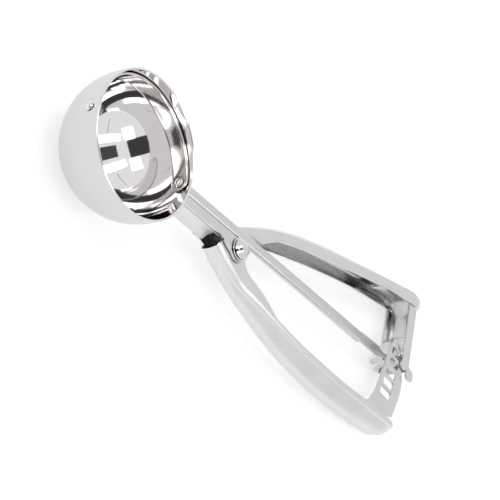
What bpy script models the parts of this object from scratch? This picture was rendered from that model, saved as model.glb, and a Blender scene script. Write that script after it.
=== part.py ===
"""Squeeze-handle ice-cream disher, a stainless bowl with a sweeping scraper blade.

Squeezing the two handles swings a slotted rack across a toothed wheel at the end of the
drive shaft. The shaft runs back over the pivot and turns the blade round inside the bowl.

Everything is modelled in the mechanism frame: the origin is the bowl's centre, X is the
drive shaft's axis from the bowl to the handle ends, and Z points out of the bowl's mouth.
One empty tilts that frame so that the disher lies on its bowl and its two handle ends.
"""
import math

import bmesh
import bpy
from mathutils import Vector

MM = 0.001

# Shared by all the pieces.
GAP = 0.3 * MM                    # clearance between pieces that touch
SHEET = 0.9 * MM                  # steel sheet of the handles, bracket and rack
ROUND_STEPS = 32                  # sides of a turned piece

# How the disher rests: the frame's tilt about Y, then the move to the record's origin.
REST_TILT = math.radians(7.09)
REST_MOVE = Vector((-74.13, 0.65, 28.0)) * MM

# Bowl.
BOWL_RADIUS = 28.0 * MM           # outside, below the mouth's straight band
BOWL_WALL = 0.9 * MM
RIM_HEIGHT = 4.7 * MM             # the band above the blade's axis
BOWL_STEPS = 64
FAR_RIVET_HOLE = 1.4 * MM
SHAFT_HOLE = 1.6 * MM

# Scraper blade: a band on a sphere, whose two rounded ends sit on the shaft's axis.
BLADE_OUTER = BOWL_RADIUS - BOWL_WALL - 0.4 * MM
BLADE_THICKNESS = 0.7 * MM
BLADE_WIDTH = 7.0 * MM
BLADE_PARK = math.radians(-7.0)   # its middle hangs this far below the axis at rest
BLADE_SWEEP = math.radians(164.0)

# Drive shaft: a folded channel that turns about X.
SHAFT_HALF_WIDTH = 2.1 * MM
SHAFT_TOP = 0.6 * MM
SHAFT_BOTTOM = -1.4 * MM
SHAFT_SHEET = 0.8 * MM
SHAFT_START = 28.4 * MM
SHAFT_FOLD_END = 148.0 * MM       # the folded sides stop here and the flat back goes on
SHAFT_CLEARANCE = 2.9 * MM        # radius round the axis that fixed pieces stay out of

# Toothed wheel and rack.
PINION_X = 166.4 * MM
PINION_THICKNESS = 1.2 * MM
TOOTH_ANGLE = math.radians(45.0)
PITCH = 4.69 * MM
PITCH_RADIUS = PITCH / TOOTH_ANGLE
TOOTH_TIP = 6.8 * MM
TOOTH_WIDTH = 1.8 * MM
TOOTH_PLAY = 0.1 * MM             # the resting tooth leans on its slot's lower side
HUB_RADIUS = 3.6 * MM
TOOTH_COUNT = 5
FIRST_SLOT_Y = 1.0 * MM           # where the first slot crosses the wheel at rest
RACK_TOP = 5.5 * MM
SLOT_LENGTH = 6.6 * MM
SLOT_WIDTH = 3.4 * MM
LAST_SLOT_EXTRA = 0.9 * MM        # the last slot reaches further towards the pivot

# Handle pivot. The squeeze handle turns about +Z here.
PIVOT = Vector((65.3, -6.6, 0.0)) * MM
GEAR_RATIO = 17.0                 # blade degrees for each degree of squeeze
SQUEEZE = BLADE_SWEEP / GEAR_RATIO
RACK_LEAN = math.radians(-5.5)    # the straight rack is square to X about half way
RACK_RADIUS = 99.5 * MM           # from the pivot to the line through the slots
RIVET_RADIUS = 2.0 * MM
RIVET_HOLE = 2.3 * MM
RIVET_HEAD = 3.9 * MM
WASHER_RADIUS = 4.6 * MM
WASHER_THICKNESS = 0.4 * MM

# Shank: a folded sleeve under the shaft, welded to the bowl.
SHANK_SHEET = 1.0 * MM
SHANK_LEFT = -6.6 * MM
SHANK_RIGHT = 3.4 * MM
SHANK_TOP = -0.1 * MM
SHANK_RIGHT_TOP = -2.6 * MM
SHANK_BOTTOM = -9.9 * MM
SHANK_START = 22.0 * MM
SHANK_END = 61.0 * MM
PLATE_TOP = 1.2 * MM              # the plate over the pivot and beside the shaft
PLATE_INNER = -2.95 * MM

# Handles, as tables of x and a value in millimetres.
SQUEEZE_WEB = ((55, -10.3), (60, -13.2), (65, -15.6), (70, -17.6), (76, -19.7), (84, -22.0),
               (94, -24.3), (107, -26.8), (126, -28.8), (148, -29.5), (168, -28.9))
SQUEEZE_TOP_EDGE = ((55, -9.3), (58, -6.4), (61, -3.9), (65, -3.0), (69, -4.6), (72, -9.4), (75, -12.2),
                    (79, -14.4), (85, -17.4), (94, -22.4), (107, -25.0), (126, -27.0),
                    (148, -27.7), (168, -27.1))
SQUEEZE_BOTTOM_EDGE = ((55, -9.3), (58, -6.4), (61, -3.9), (65, -3.0), (69, -4.6), (72, -9.0), (76, -13.0),
                       (85, -17.6), (94, -20.6), (107, -23.3), (126, -25.4), (148, -26.2),
                       (168, -25.8))
SQUEEZE_TOP = ((55, -0.1), (67, -0.1), (73, -0.1), (78, 1.1), (84, 2.2), (94, 3.4), (107, 4.6),
               (126, 5.9), (140, 6.5), (150, 6.7), (168, 6.7))
SQUEEZE_BULGE = ((55, 0.4), (68, 0.7), (84, 2.0), (100, 3.6), (126, 4.7), (148, 4.5),
                 (168, 3.4))
FIXED_WEB = ((53, 2.05), (61, 2.1), (65, 3.9), (70, 6.3), (78, 9.9), (86, 12.9), (91, 14.3),
             (100, 16.5), (114, 19.4), (131, 22.5), (150, 26.6), (168, 30.4))
FIXED_TOP_EDGE = ((53, 0.9), (61, 1.0), (65, 2.5), (70, 3.1), (78, 3.1), (81, 5.0), (86, 8.0),
                  (91, 9.6), (100, 11.7), (118, 15.3), (145, 20.9), (168, 24.4))
FIXED_BOTTOM_EDGE = ((53, -1.2), (61, -1.2), (70, 1.4), (80, 5.0), (89, 7.9), (98, 10.6),
                     (107, 13.0), (118, 15.8), (142, 21.0), (168, 24.9))
FIXED_TOP = ((53, -2.95), (61, -2.95), (65, -2.1), (70, -1.0), (78, 0.5), (86, 1.9), (91, 2.7),
             (100, 4.0), (114, 5.4), (131, 6.6), (145, 7.05), (168, 7.1))
FIXED_BULGE = ((53, 0.1), (61, 0.1), (70, 0.6), (84, 1.8), (100, 3.0), (126, 3.6), (150, 3.2),
               (168, 2.4))
HANDLE_BOTTOM = ((53, -8.6), (70, -8.6), (90, -8.3), (110, -7.9), (135, -7.3), (150, -7.1),
                 (168, -7.1))
HANDLE_CORNER = 1.3 * MM          # outside radius of the fold at the top edge
SQUEEZE_CAP_X = 165.8 * MM        # the squeeze handle's closed end starts here
SQUEEZE_END_X = 176.2 * MM
FIXED_CAP_X = 168.0 * MM
FIXED_END_X = 177.3 * MM
ROOT_CORNER = 2.6 * MM            # the squeeze handle is rounder near its pivot

# Rack arm, which lies under the squeeze handle's lip.
ARM_START = 85.0
ARM_EDGE = ((85, -18.2), (94, -21.1), (110, -24.1), (127, -25.8), (140, -26.5), (151, -26.3))

# End bracket: a channel across the fixed handle's end, open towards the bowl.
BRACKET_TOP = 6.7 * MM
BRACKET_BOTTOM = -6.3 * MM
BRACKET_LEAN = math.radians(3.7)
BRACKET_OUTER_X = 175.0 * MM      # outer face at the open end
BRACKET_END_Y = -3.0 * MM
BRACKET_LENGTH = 27.6 * MM
BRACKET_FLANGE = 5.8 * MM
LUG_CENTRE = Vector((175.8, -4.4, 0.0)) * MM
LUG_RADIUS = 2.2 * MM
JOURNAL_RADIUS = 1.1 * MM
JOURNAL_HOLE = 1.45 * MM


# ---------------------------------------------------------------- scene and materials

def clear_scene():
    for obj in list(bpy.data.objects):
        bpy.data.objects.remove(obj, do_unlink=True)


def new_collection(name):
    collection = bpy.data.collections.new(name)
    bpy.context.scene.collection.children.link(collection)
    return collection


def new_empty(name, location, parent=None):
    empty = bpy.data.objects.new(name, None)
    empty.empty_display_size = 0.01
    empty.location = location
    empty.parent = parent
    PARTS.objects.link(empty)
    return empty


def steel(name, colour, roughness):
    """Stainless steel, from mirror-polished to blasted by its roughness."""
    material = bpy.data.materials.new(name)
    material.use_nodes = True
    shader = material.node_tree.nodes["Principled BSDF"]
    shader.inputs["Base Color"].default_value = (*colour, 1.0)
    shader.inputs["Metallic"].default_value = 1.0
    shader.inputs["Roughness"].default_value = roughness
    return material


def add_part(name, mesh, material, parent):
    """Link a mesh drawn in the mechanism frame under the empty of the body it moves with."""
    obj = bpy.data.objects.new(name, mesh)
    obj.data.materials.append(material)
    PARTS.objects.link(obj)
    obj.parent = parent
    if parent is not FRAME:
        obj.location = -parent.location
    return obj


def add_cutter(name, mesh, parent=None):
    """Link a Boolean operand in the mechanism frame, hidden from renders."""
    obj = bpy.data.objects.new(name, mesh)
    CUTTERS.objects.link(obj)
    obj.parent = parent or FRAME
    if obj.parent is not FRAME:
        obj.location = -parent.location
    obj.display_type = "WIRE"
    obj.hide_render = True
    return obj


# ------------------------------------------------------------------------ shape tools

def interpolate(table, x):
    """A smooth curve through (x, value) pairs given in millimetres, in metres."""
    x = x / MM
    last = len(table) - 1
    if x <= table[0][0]:
        return table[0][1] * MM
    if x >= table[last][0]:
        return table[last][1] * MM
    index = max(i for i in range(last) if table[i][0] <= x)

    def slope(i):
        low, high = max(i - 1, 0), min(i + 1, last)
        return (table[high][1] - table[low][1]) / (table[high][0] - table[low][0])

    (x0, y0), (x1, y1) = table[index], table[index + 1]
    span = x1 - x0
    t = (x - x0) / span
    value = (y0 * (1 + 2 * t) * (1 - t) ** 2 + y1 * t * t * (3 - 2 * t)
             + slope(index) * span * t * (1 - t) ** 2 - slope(index + 1) * span * t * t * (1 - t))
    return value * MM


def spread(start, end, count):
    return [start + (end - start) * i / (count - 1) for i in range(count)]


def arc(centre, radius, start, end, count):
    """Points of a circle's arc between two angles in degrees."""
    angles = spread(math.radians(start), math.radians(end), count)
    return [(centre[0] + radius * math.cos(a), centre[1] + radius * math.sin(a)) for a in angles]


def rounded_outline(corners, arc_points=6):
    """A closed outline from (x, y, corner radius) triples."""
    outline = []
    for index, (x, y, radius) in enumerate(corners):
        here = Vector((x, y))
        before = (Vector(corners[index - 1][:2]) - here).normalized()
        after = (Vector(corners[(index + 1) % len(corners)][:2]) - here).normalized()
        if radius <= 0.0:
            outline.append((x, y))
            continue
        half_angle = before.angle(after) / 2
        centre = here + (before + after).normalized() * radius / math.sin(half_angle)
        foot = here + before * radius / math.tan(half_angle) - centre
        turn = math.pi - 2 * half_angle
        if before.cross(after) > 0:
            turn = -turn
        for step in spread(0.0, turn, arc_points):
            cosine, sine = math.cos(step), math.sin(step)
            outline.append((centre.x + foot.x * cosine - foot.y * sine,
                            centre.y + foot.x * sine + foot.y * cosine))
    return outline


def plate_mesh(name, outlines, bottom, top):
    """A flat plate: a filled 2D curve, whose later outlines are its openings."""
    curve = bpy.data.curves.new(name, "CURVE")
    curve.dimensions = "2D"
    curve.fill_mode = "BOTH"
    curve.extrude = (top - bottom) / 2
    for outline in outlines:
        spline = curve.splines.new("POLY")
        spline.points.add(len(outline) - 1)
        for point, (x, y) in zip(spline.points, outline):
            point.co = (x, y, 0.0, 1.0)
        spline.use_cyclic_u = True
    holder = bpy.data.objects.new(name, curve)
    bpy.context.scene.collection.objects.link(holder)
    depsgraph = bpy.context.evaluated_depsgraph_get()
    mesh = bpy.data.meshes.new_from_object(holder.evaluated_get(depsgraph))
    bpy.data.objects.remove(holder, do_unlink=True)
    bpy.data.curves.remove(curve)
    mesh.name = name
    weld(mesh)
    for vertex in mesh.vertices:
        vertex.co.z += (top + bottom) / 2
    return mesh


def weld(mesh):
    """Join a curve's loose caps to its sides and turn every face outward."""
    bm = bmesh.new()
    bm.from_mesh(mesh)
    bmesh.ops.remove_doubles(bm, verts=bm.verts, dist=1e-7)
    bmesh.ops.recalc_face_normals(bm, faces=bm.faces)
    bm.to_mesh(mesh)
    bm.free()


def turned_part(name, profile, material, parent, steps=ROUND_STEPS, closed=False):
    """A turned piece about its own Z, from (radius, height) points running top to bottom."""
    mesh = bpy.data.meshes.new(name)
    edges = [(i, i + 1) for i in range(len(profile) - 1)]
    if closed:
        edges.append((len(profile) - 1, 0))
    mesh.from_pydata([(radius, 0.0, height) for radius, height in profile], edges, [])
    obj = add_part(name, mesh, material, parent)
    screw = obj.modifiers.new("Turn", "SCREW")
    screw.steps = steps
    screw.render_steps = steps
    screw.use_merge_vertices = True
    screw.merge_threshold = 1e-6
    screw.use_smooth_shade = False
    return obj


def sheet_part(name, rows, thickness, material, parent):
    """A formed sheet: an open surface through equal rows of points, thickened inwards."""
    obj = add_part(name, sheet_mesh(name, rows), material, parent)
    thicken(obj, thickness)
    return obj


def sheet_mesh(name, rows):
    bm = bmesh.new()
    grid = [[bm.verts.new(point) for point in row] for row in rows]
    for here, following in zip(grid, grid[1:]):
        for a, b, c, d in zip(here, here[1:], following[1:], following):
            bm.faces.new((a, b, c, d))
    mesh = bpy.data.meshes.new(name)
    bm.to_mesh(mesh)
    bm.free()
    return mesh


def thicken(obj, thickness):
    solidify = obj.modifiers.new("Sheet", "SOLIDIFY")
    solidify.thickness = thickness
    solidify.offset = -1.0
    solidify.use_even_offset = True


def box_mesh(name, low, high):
    bm = bmesh.new()
    bmesh.ops.create_cube(bm, size=1.0)
    for vertex in bm.verts:
        for axis in range(3):
            vertex.co[axis] = low[axis] if vertex.co[axis] < 0 else high[axis]
    mesh = bpy.data.meshes.new(name)
    bm.to_mesh(mesh)
    bm.free()
    return mesh


def rod_mesh(name, start, end, radius, sides=ROUND_STEPS):
    """A cylinder between two points."""
    start, end = Vector(start), Vector(end)
    bm = bmesh.new()
    bmesh.ops.create_cone(bm, cap_ends=True, segments=sides, radius1=radius, radius2=radius,
                          depth=(end - start).length)
    turn = (end - start).to_track_quat("Z", "Y")
    for vertex in bm.verts:
        vertex.co = turn @ vertex.co + (start + end) / 2
    mesh = bpy.data.meshes.new(name)
    bm.to_mesh(mesh)
    bm.free()
    return mesh


def combine(obj, cutter, operation):
    boolean = obj.modifiers.new(cutter.name, "BOOLEAN")
    boolean.object = cutter
    boolean.operation = operation
    boolean.solver = "EXACT"


def dome_profile(radius, height, base, stem_radius, stem_end):
    """Half a rivet's outline: a domed head on a plain stem, top to bottom."""
    head = [(radius * math.sin(a), base + height * math.cos(a))
            for a in spread(0.0, math.pi / 2, 7)]
    head[0] = (0.0, base + height)
    return head + [(radius, base), (stem_radius, base), (stem_radius, stem_end)]


# ------------------------------------------------------------------------------- bowl

def bowl_profile(radius, rim):
    """A hemisphere's outside from the rim down, with the straight band above it."""
    curve = [(radius * math.cos(a), -radius * math.sin(a)) for a in spread(0.0, math.pi / 2, 15)]
    curve[-1] = (0.0, -radius)
    return [(radius, rim)] + curve


def build_bowl():
    outside = bowl_profile(BOWL_RADIUS, RIM_HEIGHT - 0.25 * MM)
    inside = bowl_profile(BOWL_RADIUS - BOWL_WALL, RIM_HEIGHT - 0.25 * MM)
    rim = [(BOWL_RADIUS - 0.65 * MM, RIM_HEIGHT), (BOWL_RADIUS - 0.25 * MM, RIM_HEIGHT)]
    bowl = turned_part("bowl", inside[::-1] + rim + outside, MIRROR, FRAME, steps=BOWL_STEPS)
    far_end = rod_mesh("far_hole", (-30 * MM, 0, 0), (-24 * MM, 0, 0), FAR_RIVET_HOLE, 16)
    near_end = rod_mesh("shaft_hole", (24 * MM, 0, 0), (30 * MM, 0, 0), SHAFT_HOLE, 16)
    combine(bowl, add_cutter("far_hole", far_end), "DIFFERENCE")
    combine(bowl, add_cutter("shaft_hole", near_end), "DIFFERENCE")


def build_far_rivet():
    """A headed rivet through the bowl's wall, which carries the blade's far end."""
    outer_base = BOWL_RADIUS + GAP
    inner_face = BLADE_OUTER - BLADE_THICKNESS - GAP
    profile = dome_profile(1.8 * MM, 1.1 * MM, outer_base, FAR_RIVET_HOLE - GAP, inner_face)
    profile += [(1.9 * MM, inner_face), (1.5 * MM, inner_face - 0.5 * MM),
                (0.0, inner_face - 0.7 * MM)]
    rivet = turned_part("far_pivot_rivet", profile, POLISHED, FRAME, steps=24)
    rivet.rotation_euler = (0.0, -math.pi / 2, 0.0)


# -------------------------------------------------------------- blade, shaft and wheel

def build_blade():
    """The band on a sphere, whose width closes to a half circle round each pivot."""
    half = BLADE_WIDTH / 2
    past = math.asin(half / BLADE_OUTER)
    ends = [past * math.sin(a) for a in spread(0.0, math.pi / 2, 6)]
    round_end = [-value for value in reversed(ends[1:])]
    angles = round_end + spread(0.0, math.pi, 33) + [math.pi - value for value in reversed(round_end)]
    rows = []
    for angle in angles:
        over = max(0.0, -angle, angle - math.pi) / past
        width = half * max(math.sqrt(max(0.0, 1.0 - over * over)), 0.12)
        row = []
        for height in spread(-width, width, 5):
            ring = math.sqrt(BLADE_OUTER ** 2 - height ** 2)
            y = ring * math.sin(angle)
            row.append((-ring * math.cos(angle),
                        y * math.cos(BLADE_PARK) - height * math.sin(BLADE_PARK),
                        y * math.sin(BLADE_PARK) + height * math.cos(BLADE_PARK)))
        rows.append(row)
    blade = sheet_part("scraper_blade", rows, BLADE_THICKNESS, POLISHED, BLADE_AXIS)
    for name, side, radius in (("blade_far_eye", -1, FAR_RIVET_HOLE),
                               ("blade_near_eye", 1, SHAFT_HOLE)):
        eye = rod_mesh(name, (side * 22 * MM, 0, 0), (side * 29 * MM, 0, 0), radius, 16)
        combine(blade, add_cutter(name, eye, BLADE_AXIS), "DIFFERENCE")


def build_blade_rivet():
    """The shaft's peened head, which holds the blade's near end on the shaft."""
    outer = BLADE_OUTER - BLADE_THICKNESS - GAP
    profile = [(0.0, outer), (2.2 * MM, outer), (2.2 * MM, outer - 0.3 * MM),
               (1.6 * MM, outer - 0.7 * MM), (0.8 * MM, outer - 0.9 * MM),
               (0.0, outer - 0.95 * MM)]
    rivet = turned_part("blade_rivet", profile, POLISHED, BLADE_AXIS, steps=24)
    rivet.rotation_euler = (0.0, math.pi / 2, 0.0)


def build_shaft():
    """The flat back with its tongue, the two folded sides and the round journals."""
    tongue = 1.0 * MM
    back_end = 160.0 * MM
    back = [(SHAFT_START, -SHAFT_HALF_WIDTH), (back_end, -SHAFT_HALF_WIDTH),
            (back_end + 3.5 * MM, -tongue), (168.6 * MM, -tongue), (168.6 * MM, tongue),
            (back_end + 3.5 * MM, tongue), (back_end, SHAFT_HALF_WIDTH),
            (SHAFT_START, SHAFT_HALF_WIDTH)]
    mesh = plate_mesh("drive_shaft", [back], SHAFT_TOP - SHAFT_SHEET, SHAFT_TOP)
    shaft = add_part("drive_shaft", mesh, BRUSHED, BLADE_AXIS)
    for name, side in (("shaft_side_left", -1), ("shaft_side_right", 1)):
        inner = side * (SHAFT_HALF_WIDTH - SHAFT_SHEET)
        outer = side * SHAFT_HALF_WIDTH
        side_box = box_mesh(name, (SHAFT_START, min(inner, outer), SHAFT_BOTTOM),
                            (SHAFT_FOLD_END, max(inner, outer), SHAFT_TOP - 0.2 * MM))
        combine(shaft, add_cutter(name, side_box, BLADE_AXIS), "UNION")
    front = rod_mesh("shaft_front_journal", (BLADE_OUTER - BLADE_THICKNESS, 0, 0),
                     (SHAFT_START + 5 * MM, 0, 0), SHAFT_HOLE - GAP, 16)
    rear = rod_mesh("shaft_rear_journal", (168.0 * MM, 0, 0), (176.2 * MM, 0, 0),
                    JOURNAL_RADIUS, 16)
    combine(shaft, add_cutter("shaft_front_journal", front, BLADE_AXIS), "UNION")
    combine(shaft, add_cutter("shaft_rear_journal", rear, BLADE_AXIS), "UNION")


def rack_slot_offset(index):
    """Distance of a slot from the pivot's level, measured along the straight rack."""
    reach = (PINION_X - PIVOT.x) * math.sin(RACK_LEAN)
    first = (FIRST_SLOT_Y - PIVOT.y) * math.cos(RACK_LEAN) - reach
    return first - index * PITCH


def wheel_outline():
    """Five round-ended teeth and a plain sector, as (y, z) points seen from the far end."""
    first = (FIRST_SLOT_Y - TOOTH_PLAY) / PITCH_RADIUS
    outline = []
    for index in range(TOOTH_COUNT):
        angle = first - index * TOOTH_ANGLE
        along = Vector((math.sin(angle), math.cos(angle)))
        across = Vector((along.y, -along.x))
        half = TOOTH_WIDTH / 2
        tip = along * (TOOTH_TIP - half)
        outline.append(tuple(along * HUB_RADIUS + across * half))
        for turn in spread(0.0, math.pi, 7):
            point = tip + across * half * math.cos(turn) + along * half * math.sin(turn)
            outline.append(tuple(point))
        outline.append(tuple(along * HUB_RADIUS - across * half))
    sector_end = math.radians(60.0)
    sector_start = math.radians(136.0)
    for angle in spread(sector_start, sector_end, 12):
        outline.append((TOOTH_TIP * math.sin(angle), TOOTH_TIP * math.cos(angle)))
    return outline


def build_wheel():
    eye = [(-1.3 * MM, SHAFT_TOP - SHAFT_SHEET - GAP), (1.3 * MM, SHAFT_TOP - SHAFT_SHEET - GAP),
           (1.3 * MM, SHAFT_TOP + GAP), (-1.3 * MM, SHAFT_TOP + GAP)]
    mesh = plate_mesh("pinion", [wheel_outline(), eye], 0.0, PINION_THICKNESS)
    for vertex in mesh.vertices:
        y, z, x = vertex.co
        vertex.co = (PINION_X - PINION_THICKNESS / 2 + x, y, z)
    add_part("pinion", mesh, POLISHED, BLADE_AXIS)


# --------------------------------------------------------------------- shank and pivot

def pivot_hole(name, parent):
    start = (PIVOT.x, PIVOT.y, -14 * MM)
    end = (PIVOT.x, PIVOT.y, 5 * MM)
    return add_cutter(name, rod_mesh(name, start, end, RIVET_HOLE, 24), parent)


def bowl_cutter():
    """The bowl's outside with the welding gap, which trims what meets it."""
    profile = bowl_profile(BOWL_RADIUS + GAP, RIM_HEIGHT + 3 * MM)
    profile.insert(0, (0.0, RIM_HEIGHT + 3 * MM))
    mesh = bpy.data.meshes.new("bowl_clearance")
    mesh.from_pydata([(r, 0.0, z) for r, z in profile],
                     [(i, i + 1) for i in range(len(profile) - 1)], [])
    cutter = add_cutter("bowl_clearance", mesh)
    screw = cutter.modifiers.new("Turn", "SCREW")
    screw.steps = BOWL_STEPS
    screw.render_steps = BOWL_STEPS
    screw.use_merge_vertices = True
    screw.merge_threshold = 1e-6
    return cutter


def shank_row(x):
    """The sleeve's outside at one x, from its left wall round to its right wall."""
    radius = 1.2 * MM
    lower = SHANK_BOTTOM + radius
    left = arc((SHANK_LEFT + radius, lower), radius, 180, 270, 5)
    right = arc((SHANK_RIGHT - radius, lower), radius, 270, 360, 5)
    path = [(SHANK_LEFT, SHANK_TOP)] + left + right + [(SHANK_RIGHT, SHANK_RIGHT_TOP)]
    return [(x, y, z) for y, z in path]


def ear_outline(start):
    """A strip that widens into a round ear over the pivot and is cut off square after it."""
    ear_radius = 5.0 * MM
    centre = (PIVOT.x, PIVOT.y)
    ear = arc(centre, ear_radius, 205, 318, 12)
    neck = [(53.0 * MM, SHANK_LEFT), (56.2 * MM, SHANK_LEFT - 0.9 * MM),
            (58.6 * MM, SHANK_LEFT - 2.3 * MM)]
    return [(start, SHANK_LEFT)] + neck + ear[2:] + [(72.2 * MM, PLATE_INNER)]


def build_shank(trim):
    rows = [shank_row(x) for x in (SHANK_START, 40 * MM, 52 * MM, SHANK_END)]
    shank = sheet_part("shank", rows, SHANK_SHEET, BRUSHED, FRAME)
    ear = ear_outline(50 * MM)[:-1] + [(71.0 * MM, -5.6 * MM), (64.0 * MM, -1.6 * MM),
                                       (50 * MM, -1.6 * MM)]
    ear_mesh = plate_mesh("bottom_ear", [ear], SHANK_BOTTOM + 0.05 * MM,
                          SHANK_BOTTOM + SHANK_SHEET - 0.05 * MM)
    combine(shank, add_cutter("bottom_ear", ear_mesh), "UNION")
    slanted = [(51.2 * MM, 1.0 * MM), (62.5 * MM, 1.0 * MM), (62.5 * MM, -9.0 * MM),
               (54.6 * MM, -9.0 * MM), (52.2 * MM, -4.5 * MM)]
    mesh = plate_mesh("left_wall_end", [slanted], 0.0, 4.6 * MM)
    for vertex in mesh.vertices:
        x, z, y = vertex.co
        vertex.co = (x, SHANK_LEFT - 2.0 * MM + y, z)
    weld(mesh)
    combine(shank, add_cutter("left_wall_end", mesh), "DIFFERENCE")
    combine(shank, trim, "DIFFERENCE")
    combine(shank, pivot_hole("shank_rivet_hole", FRAME), "DIFFERENCE")


def build_top_plate(trim):
    outline = ear_outline(SHANK_START) + [(SHANK_START, PLATE_INNER)]
    mesh = plate_mesh("top_plate", [outline], PLATE_TOP - SHANK_SHEET, PLATE_TOP)
    plate = add_part("top_plate", mesh, BRUSHED, FRAME)
    combine(plate, trim, "DIFFERENCE")
    combine(plate, pivot_hole("plate_rivet_hole", FRAME), "DIFFERENCE")


def build_pivot():
    """The big domed rivet, its washer, the spacer tube and the spring round it."""
    head_base = PLATE_TOP + GAP + WASHER_THICKNESS + GAP
    foot = SHANK_BOTTOM - GAP
    profile = dome_profile(RIVET_HEAD, 2.2 * MM, head_base, RIVET_RADIUS, foot)
    profile += [(3.4 * MM, foot), (3.1 * MM, foot - 0.8 * MM), (2.2 * MM, foot - 1.2 * MM),
                (0.0, foot - 1.3 * MM)]
    rivet = turned_part("pivot_rivet", profile, POLISHED, FRAME)
    rivet.location = PIVOT

    disc = [(WASHER_RADIUS, WASHER_THICKNESS), (WASHER_RADIUS, 0.0), (RIVET_HOLE, 0.0),
            (RIVET_HOLE, WASHER_THICKNESS)]
    washer = turned_part("pivot_washer", disc, POLISHED, FRAME, closed=True)
    washer.location = PIVOT + Vector((0.0, 0.0, PLATE_TOP + GAP))

    top = interpolate(SQUEEZE_TOP, PIVOT.x) - SHEET - GAP
    bottom = interpolate(HANDLE_BOTTOM, PIVOT.x) + SHEET + GAP
    tube = [(3.0 * MM, top), (3.0 * MM, bottom), (RIVET_HOLE, bottom), (RIVET_HOLE, top)]
    spacer = turned_part("pivot_spacer", tube, BRUSHED, FRAME, steps=24, closed=True)
    spacer.location = PIVOT


def build_spring():
    """A torsion spring round the spacer, one leg in each handle's channel."""
    coil_radius = 3.85 * MM
    start, turn = math.radians(-125.0), math.radians(1190.0)
    low, high = -6.0 * MM, -2.2 * MM
    steps = 46
    points = [Vector((75.5, -15.8, -6.0)) * MM]
    for step in range(steps + 1):
        angle = start - turn * step / steps
        points.append(PIVOT + Vector((coil_radius * math.cos(angle), coil_radius * math.sin(angle),
                                      low + (high - low) * step / steps)))
    points.append(Vector((73.0, 3.2, -3.2)) * MM)
    curve = bpy.data.curves.new("torsion_spring", "CURVE")
    curve.dimensions = "3D"
    curve.bevel_depth = 0.45 * MM
    curve.bevel_resolution = 2
    curve.use_fill_caps = True
    spline = curve.splines.new("POLY")
    spline.points.add(len(points) - 1)
    for point, place in zip(spline.points, points):
        point.co = (*place, 1.0)
    spring = bpy.data.objects.new("torsion_spring", curve)
    curve.materials.append(BRUSHED)
    PARTS.objects.link(spring)
    spring.parent = FRAME


# ----------------------------------------------------------------------------- handles

def handle_row(side, x, web, top, bottom, top_edge, bottom_edge, bulge, corner):
    """A channel's outside at one x, from the top flange's edge round to the bottom one's."""
    middle = (top + bottom) / 2 - 0.8 * MM
    row = [(y, top) for y in spread(top_edge, web - side * corner, 3)]
    for angle in spread(0.0, math.pi / 2, 5)[1:]:
        row.append((web - side * corner * (1 - math.sin(angle)),
                    top - corner * (1 - math.cos(angle))))
    for t in spread(0.0, 1.0, 5)[1:]:
        row.append((web + side * bulge * math.sin(t * math.pi / 2),
                    top - corner + (middle - top + corner) * t))
    inner = web - side * min(2.2 * MM, abs(web - bottom_edge) * 0.8)
    for angle in spread(0.0, math.pi / 2, 7)[1:]:
        row.append((inner + (web + side * bulge - inner) * math.cos(angle) ** 0.7,
                    middle + (bottom - middle) * math.sin(angle) ** 0.7))
    row.append(((inner + bottom_edge) / 2, bottom))
    row.append((bottom_edge, bottom))
    return [(x, y, z) for y, z in row]


def handle_rows(side, tables, cap_x, end_x, cap_edge, squareness, corner_at):
    """Rows along the handle, then a cap that closes like a quarter of an egg."""
    web, top, top_edge, bottom_edge, bulge = tables
    start = web[0][0] * MM

    def values(x):
        return [interpolate(table, x) for table in
                (web, top, HANDLE_BOTTOM, top_edge, bottom_edge, bulge)]

    rows = []
    steps = 28
    for x in spread(start, cap_x, steps):
        rows.append(handle_row(side, x, *values(x), corner_at(x)))
    web_y, top_z, bottom_z, top_y, bottom_y, swell = values(cap_x)
    middle = (top_z + bottom_z) / 2
    for angle in spread(0.0, math.radians(87.0), 9)[1:]:
        x = cap_x + (end_x - cap_x) * math.sin(angle)
        share = math.cos(angle) ** squareness
        blend = 1.0 - math.cos(angle)
        rows.append(handle_row(side, x, cap_edge + (web_y - cap_edge) * share,
                               middle + (top_z - middle) * share,
                               middle + (bottom_z - middle) * share,
                               top_y + (cap_edge - top_y) * min(1.0, 2.2 * blend),
                               bottom_y + (cap_edge - bottom_y) * min(1.0, 2.2 * blend),
                               swell * share, HANDLE_CORNER * share))
    if side > 0:
        return rows[::-1]
    return rows


def squeeze_corner(x):
    """The fold starts wide at the pivot and tightens along the handle."""
    share = min(1.0, max(0.0, (x - 66 * MM) / (30 * MM)))
    return ROOT_CORNER + (HANDLE_CORNER - ROOT_CORNER) * share


def fixed_corner(x):
    """The fixed handle's fold is tight all along."""
    return min(HANDLE_CORNER, 0.9 * MM + max(0.0, x - 61 * MM) * 0.05)


def build_squeeze_handle():
    tables = (SQUEEZE_WEB, SQUEEZE_TOP, SQUEEZE_TOP_EDGE, SQUEEZE_BOTTOM_EDGE, SQUEEZE_BULGE)
    rows = handle_rows(-1, tables, SQUEEZE_CAP_X, SQUEEZE_END_X, -26.2 * MM, 0.9, squeeze_corner)
    handle = sheet_part("squeeze_handle", rows, SHEET, BRUSHED, LEVER_AXIS)
    combine(handle, pivot_hole("handle_rivet_hole", LEVER_AXIS), "DIFFERENCE")


def build_fixed_handle():
    tables = (FIXED_WEB, FIXED_TOP, FIXED_TOP_EDGE, FIXED_BOTTOM_EDGE, FIXED_BULGE)
    rows = handle_rows(1, tables, FIXED_CAP_X, FIXED_END_X, 26.6 * MM, 0.42, fixed_corner)
    sheet_part("fixed_handle", rows, SHEET, BRUSHED, FRAME)


# ---------------------------------------------------------------------- rack and bracket

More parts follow.
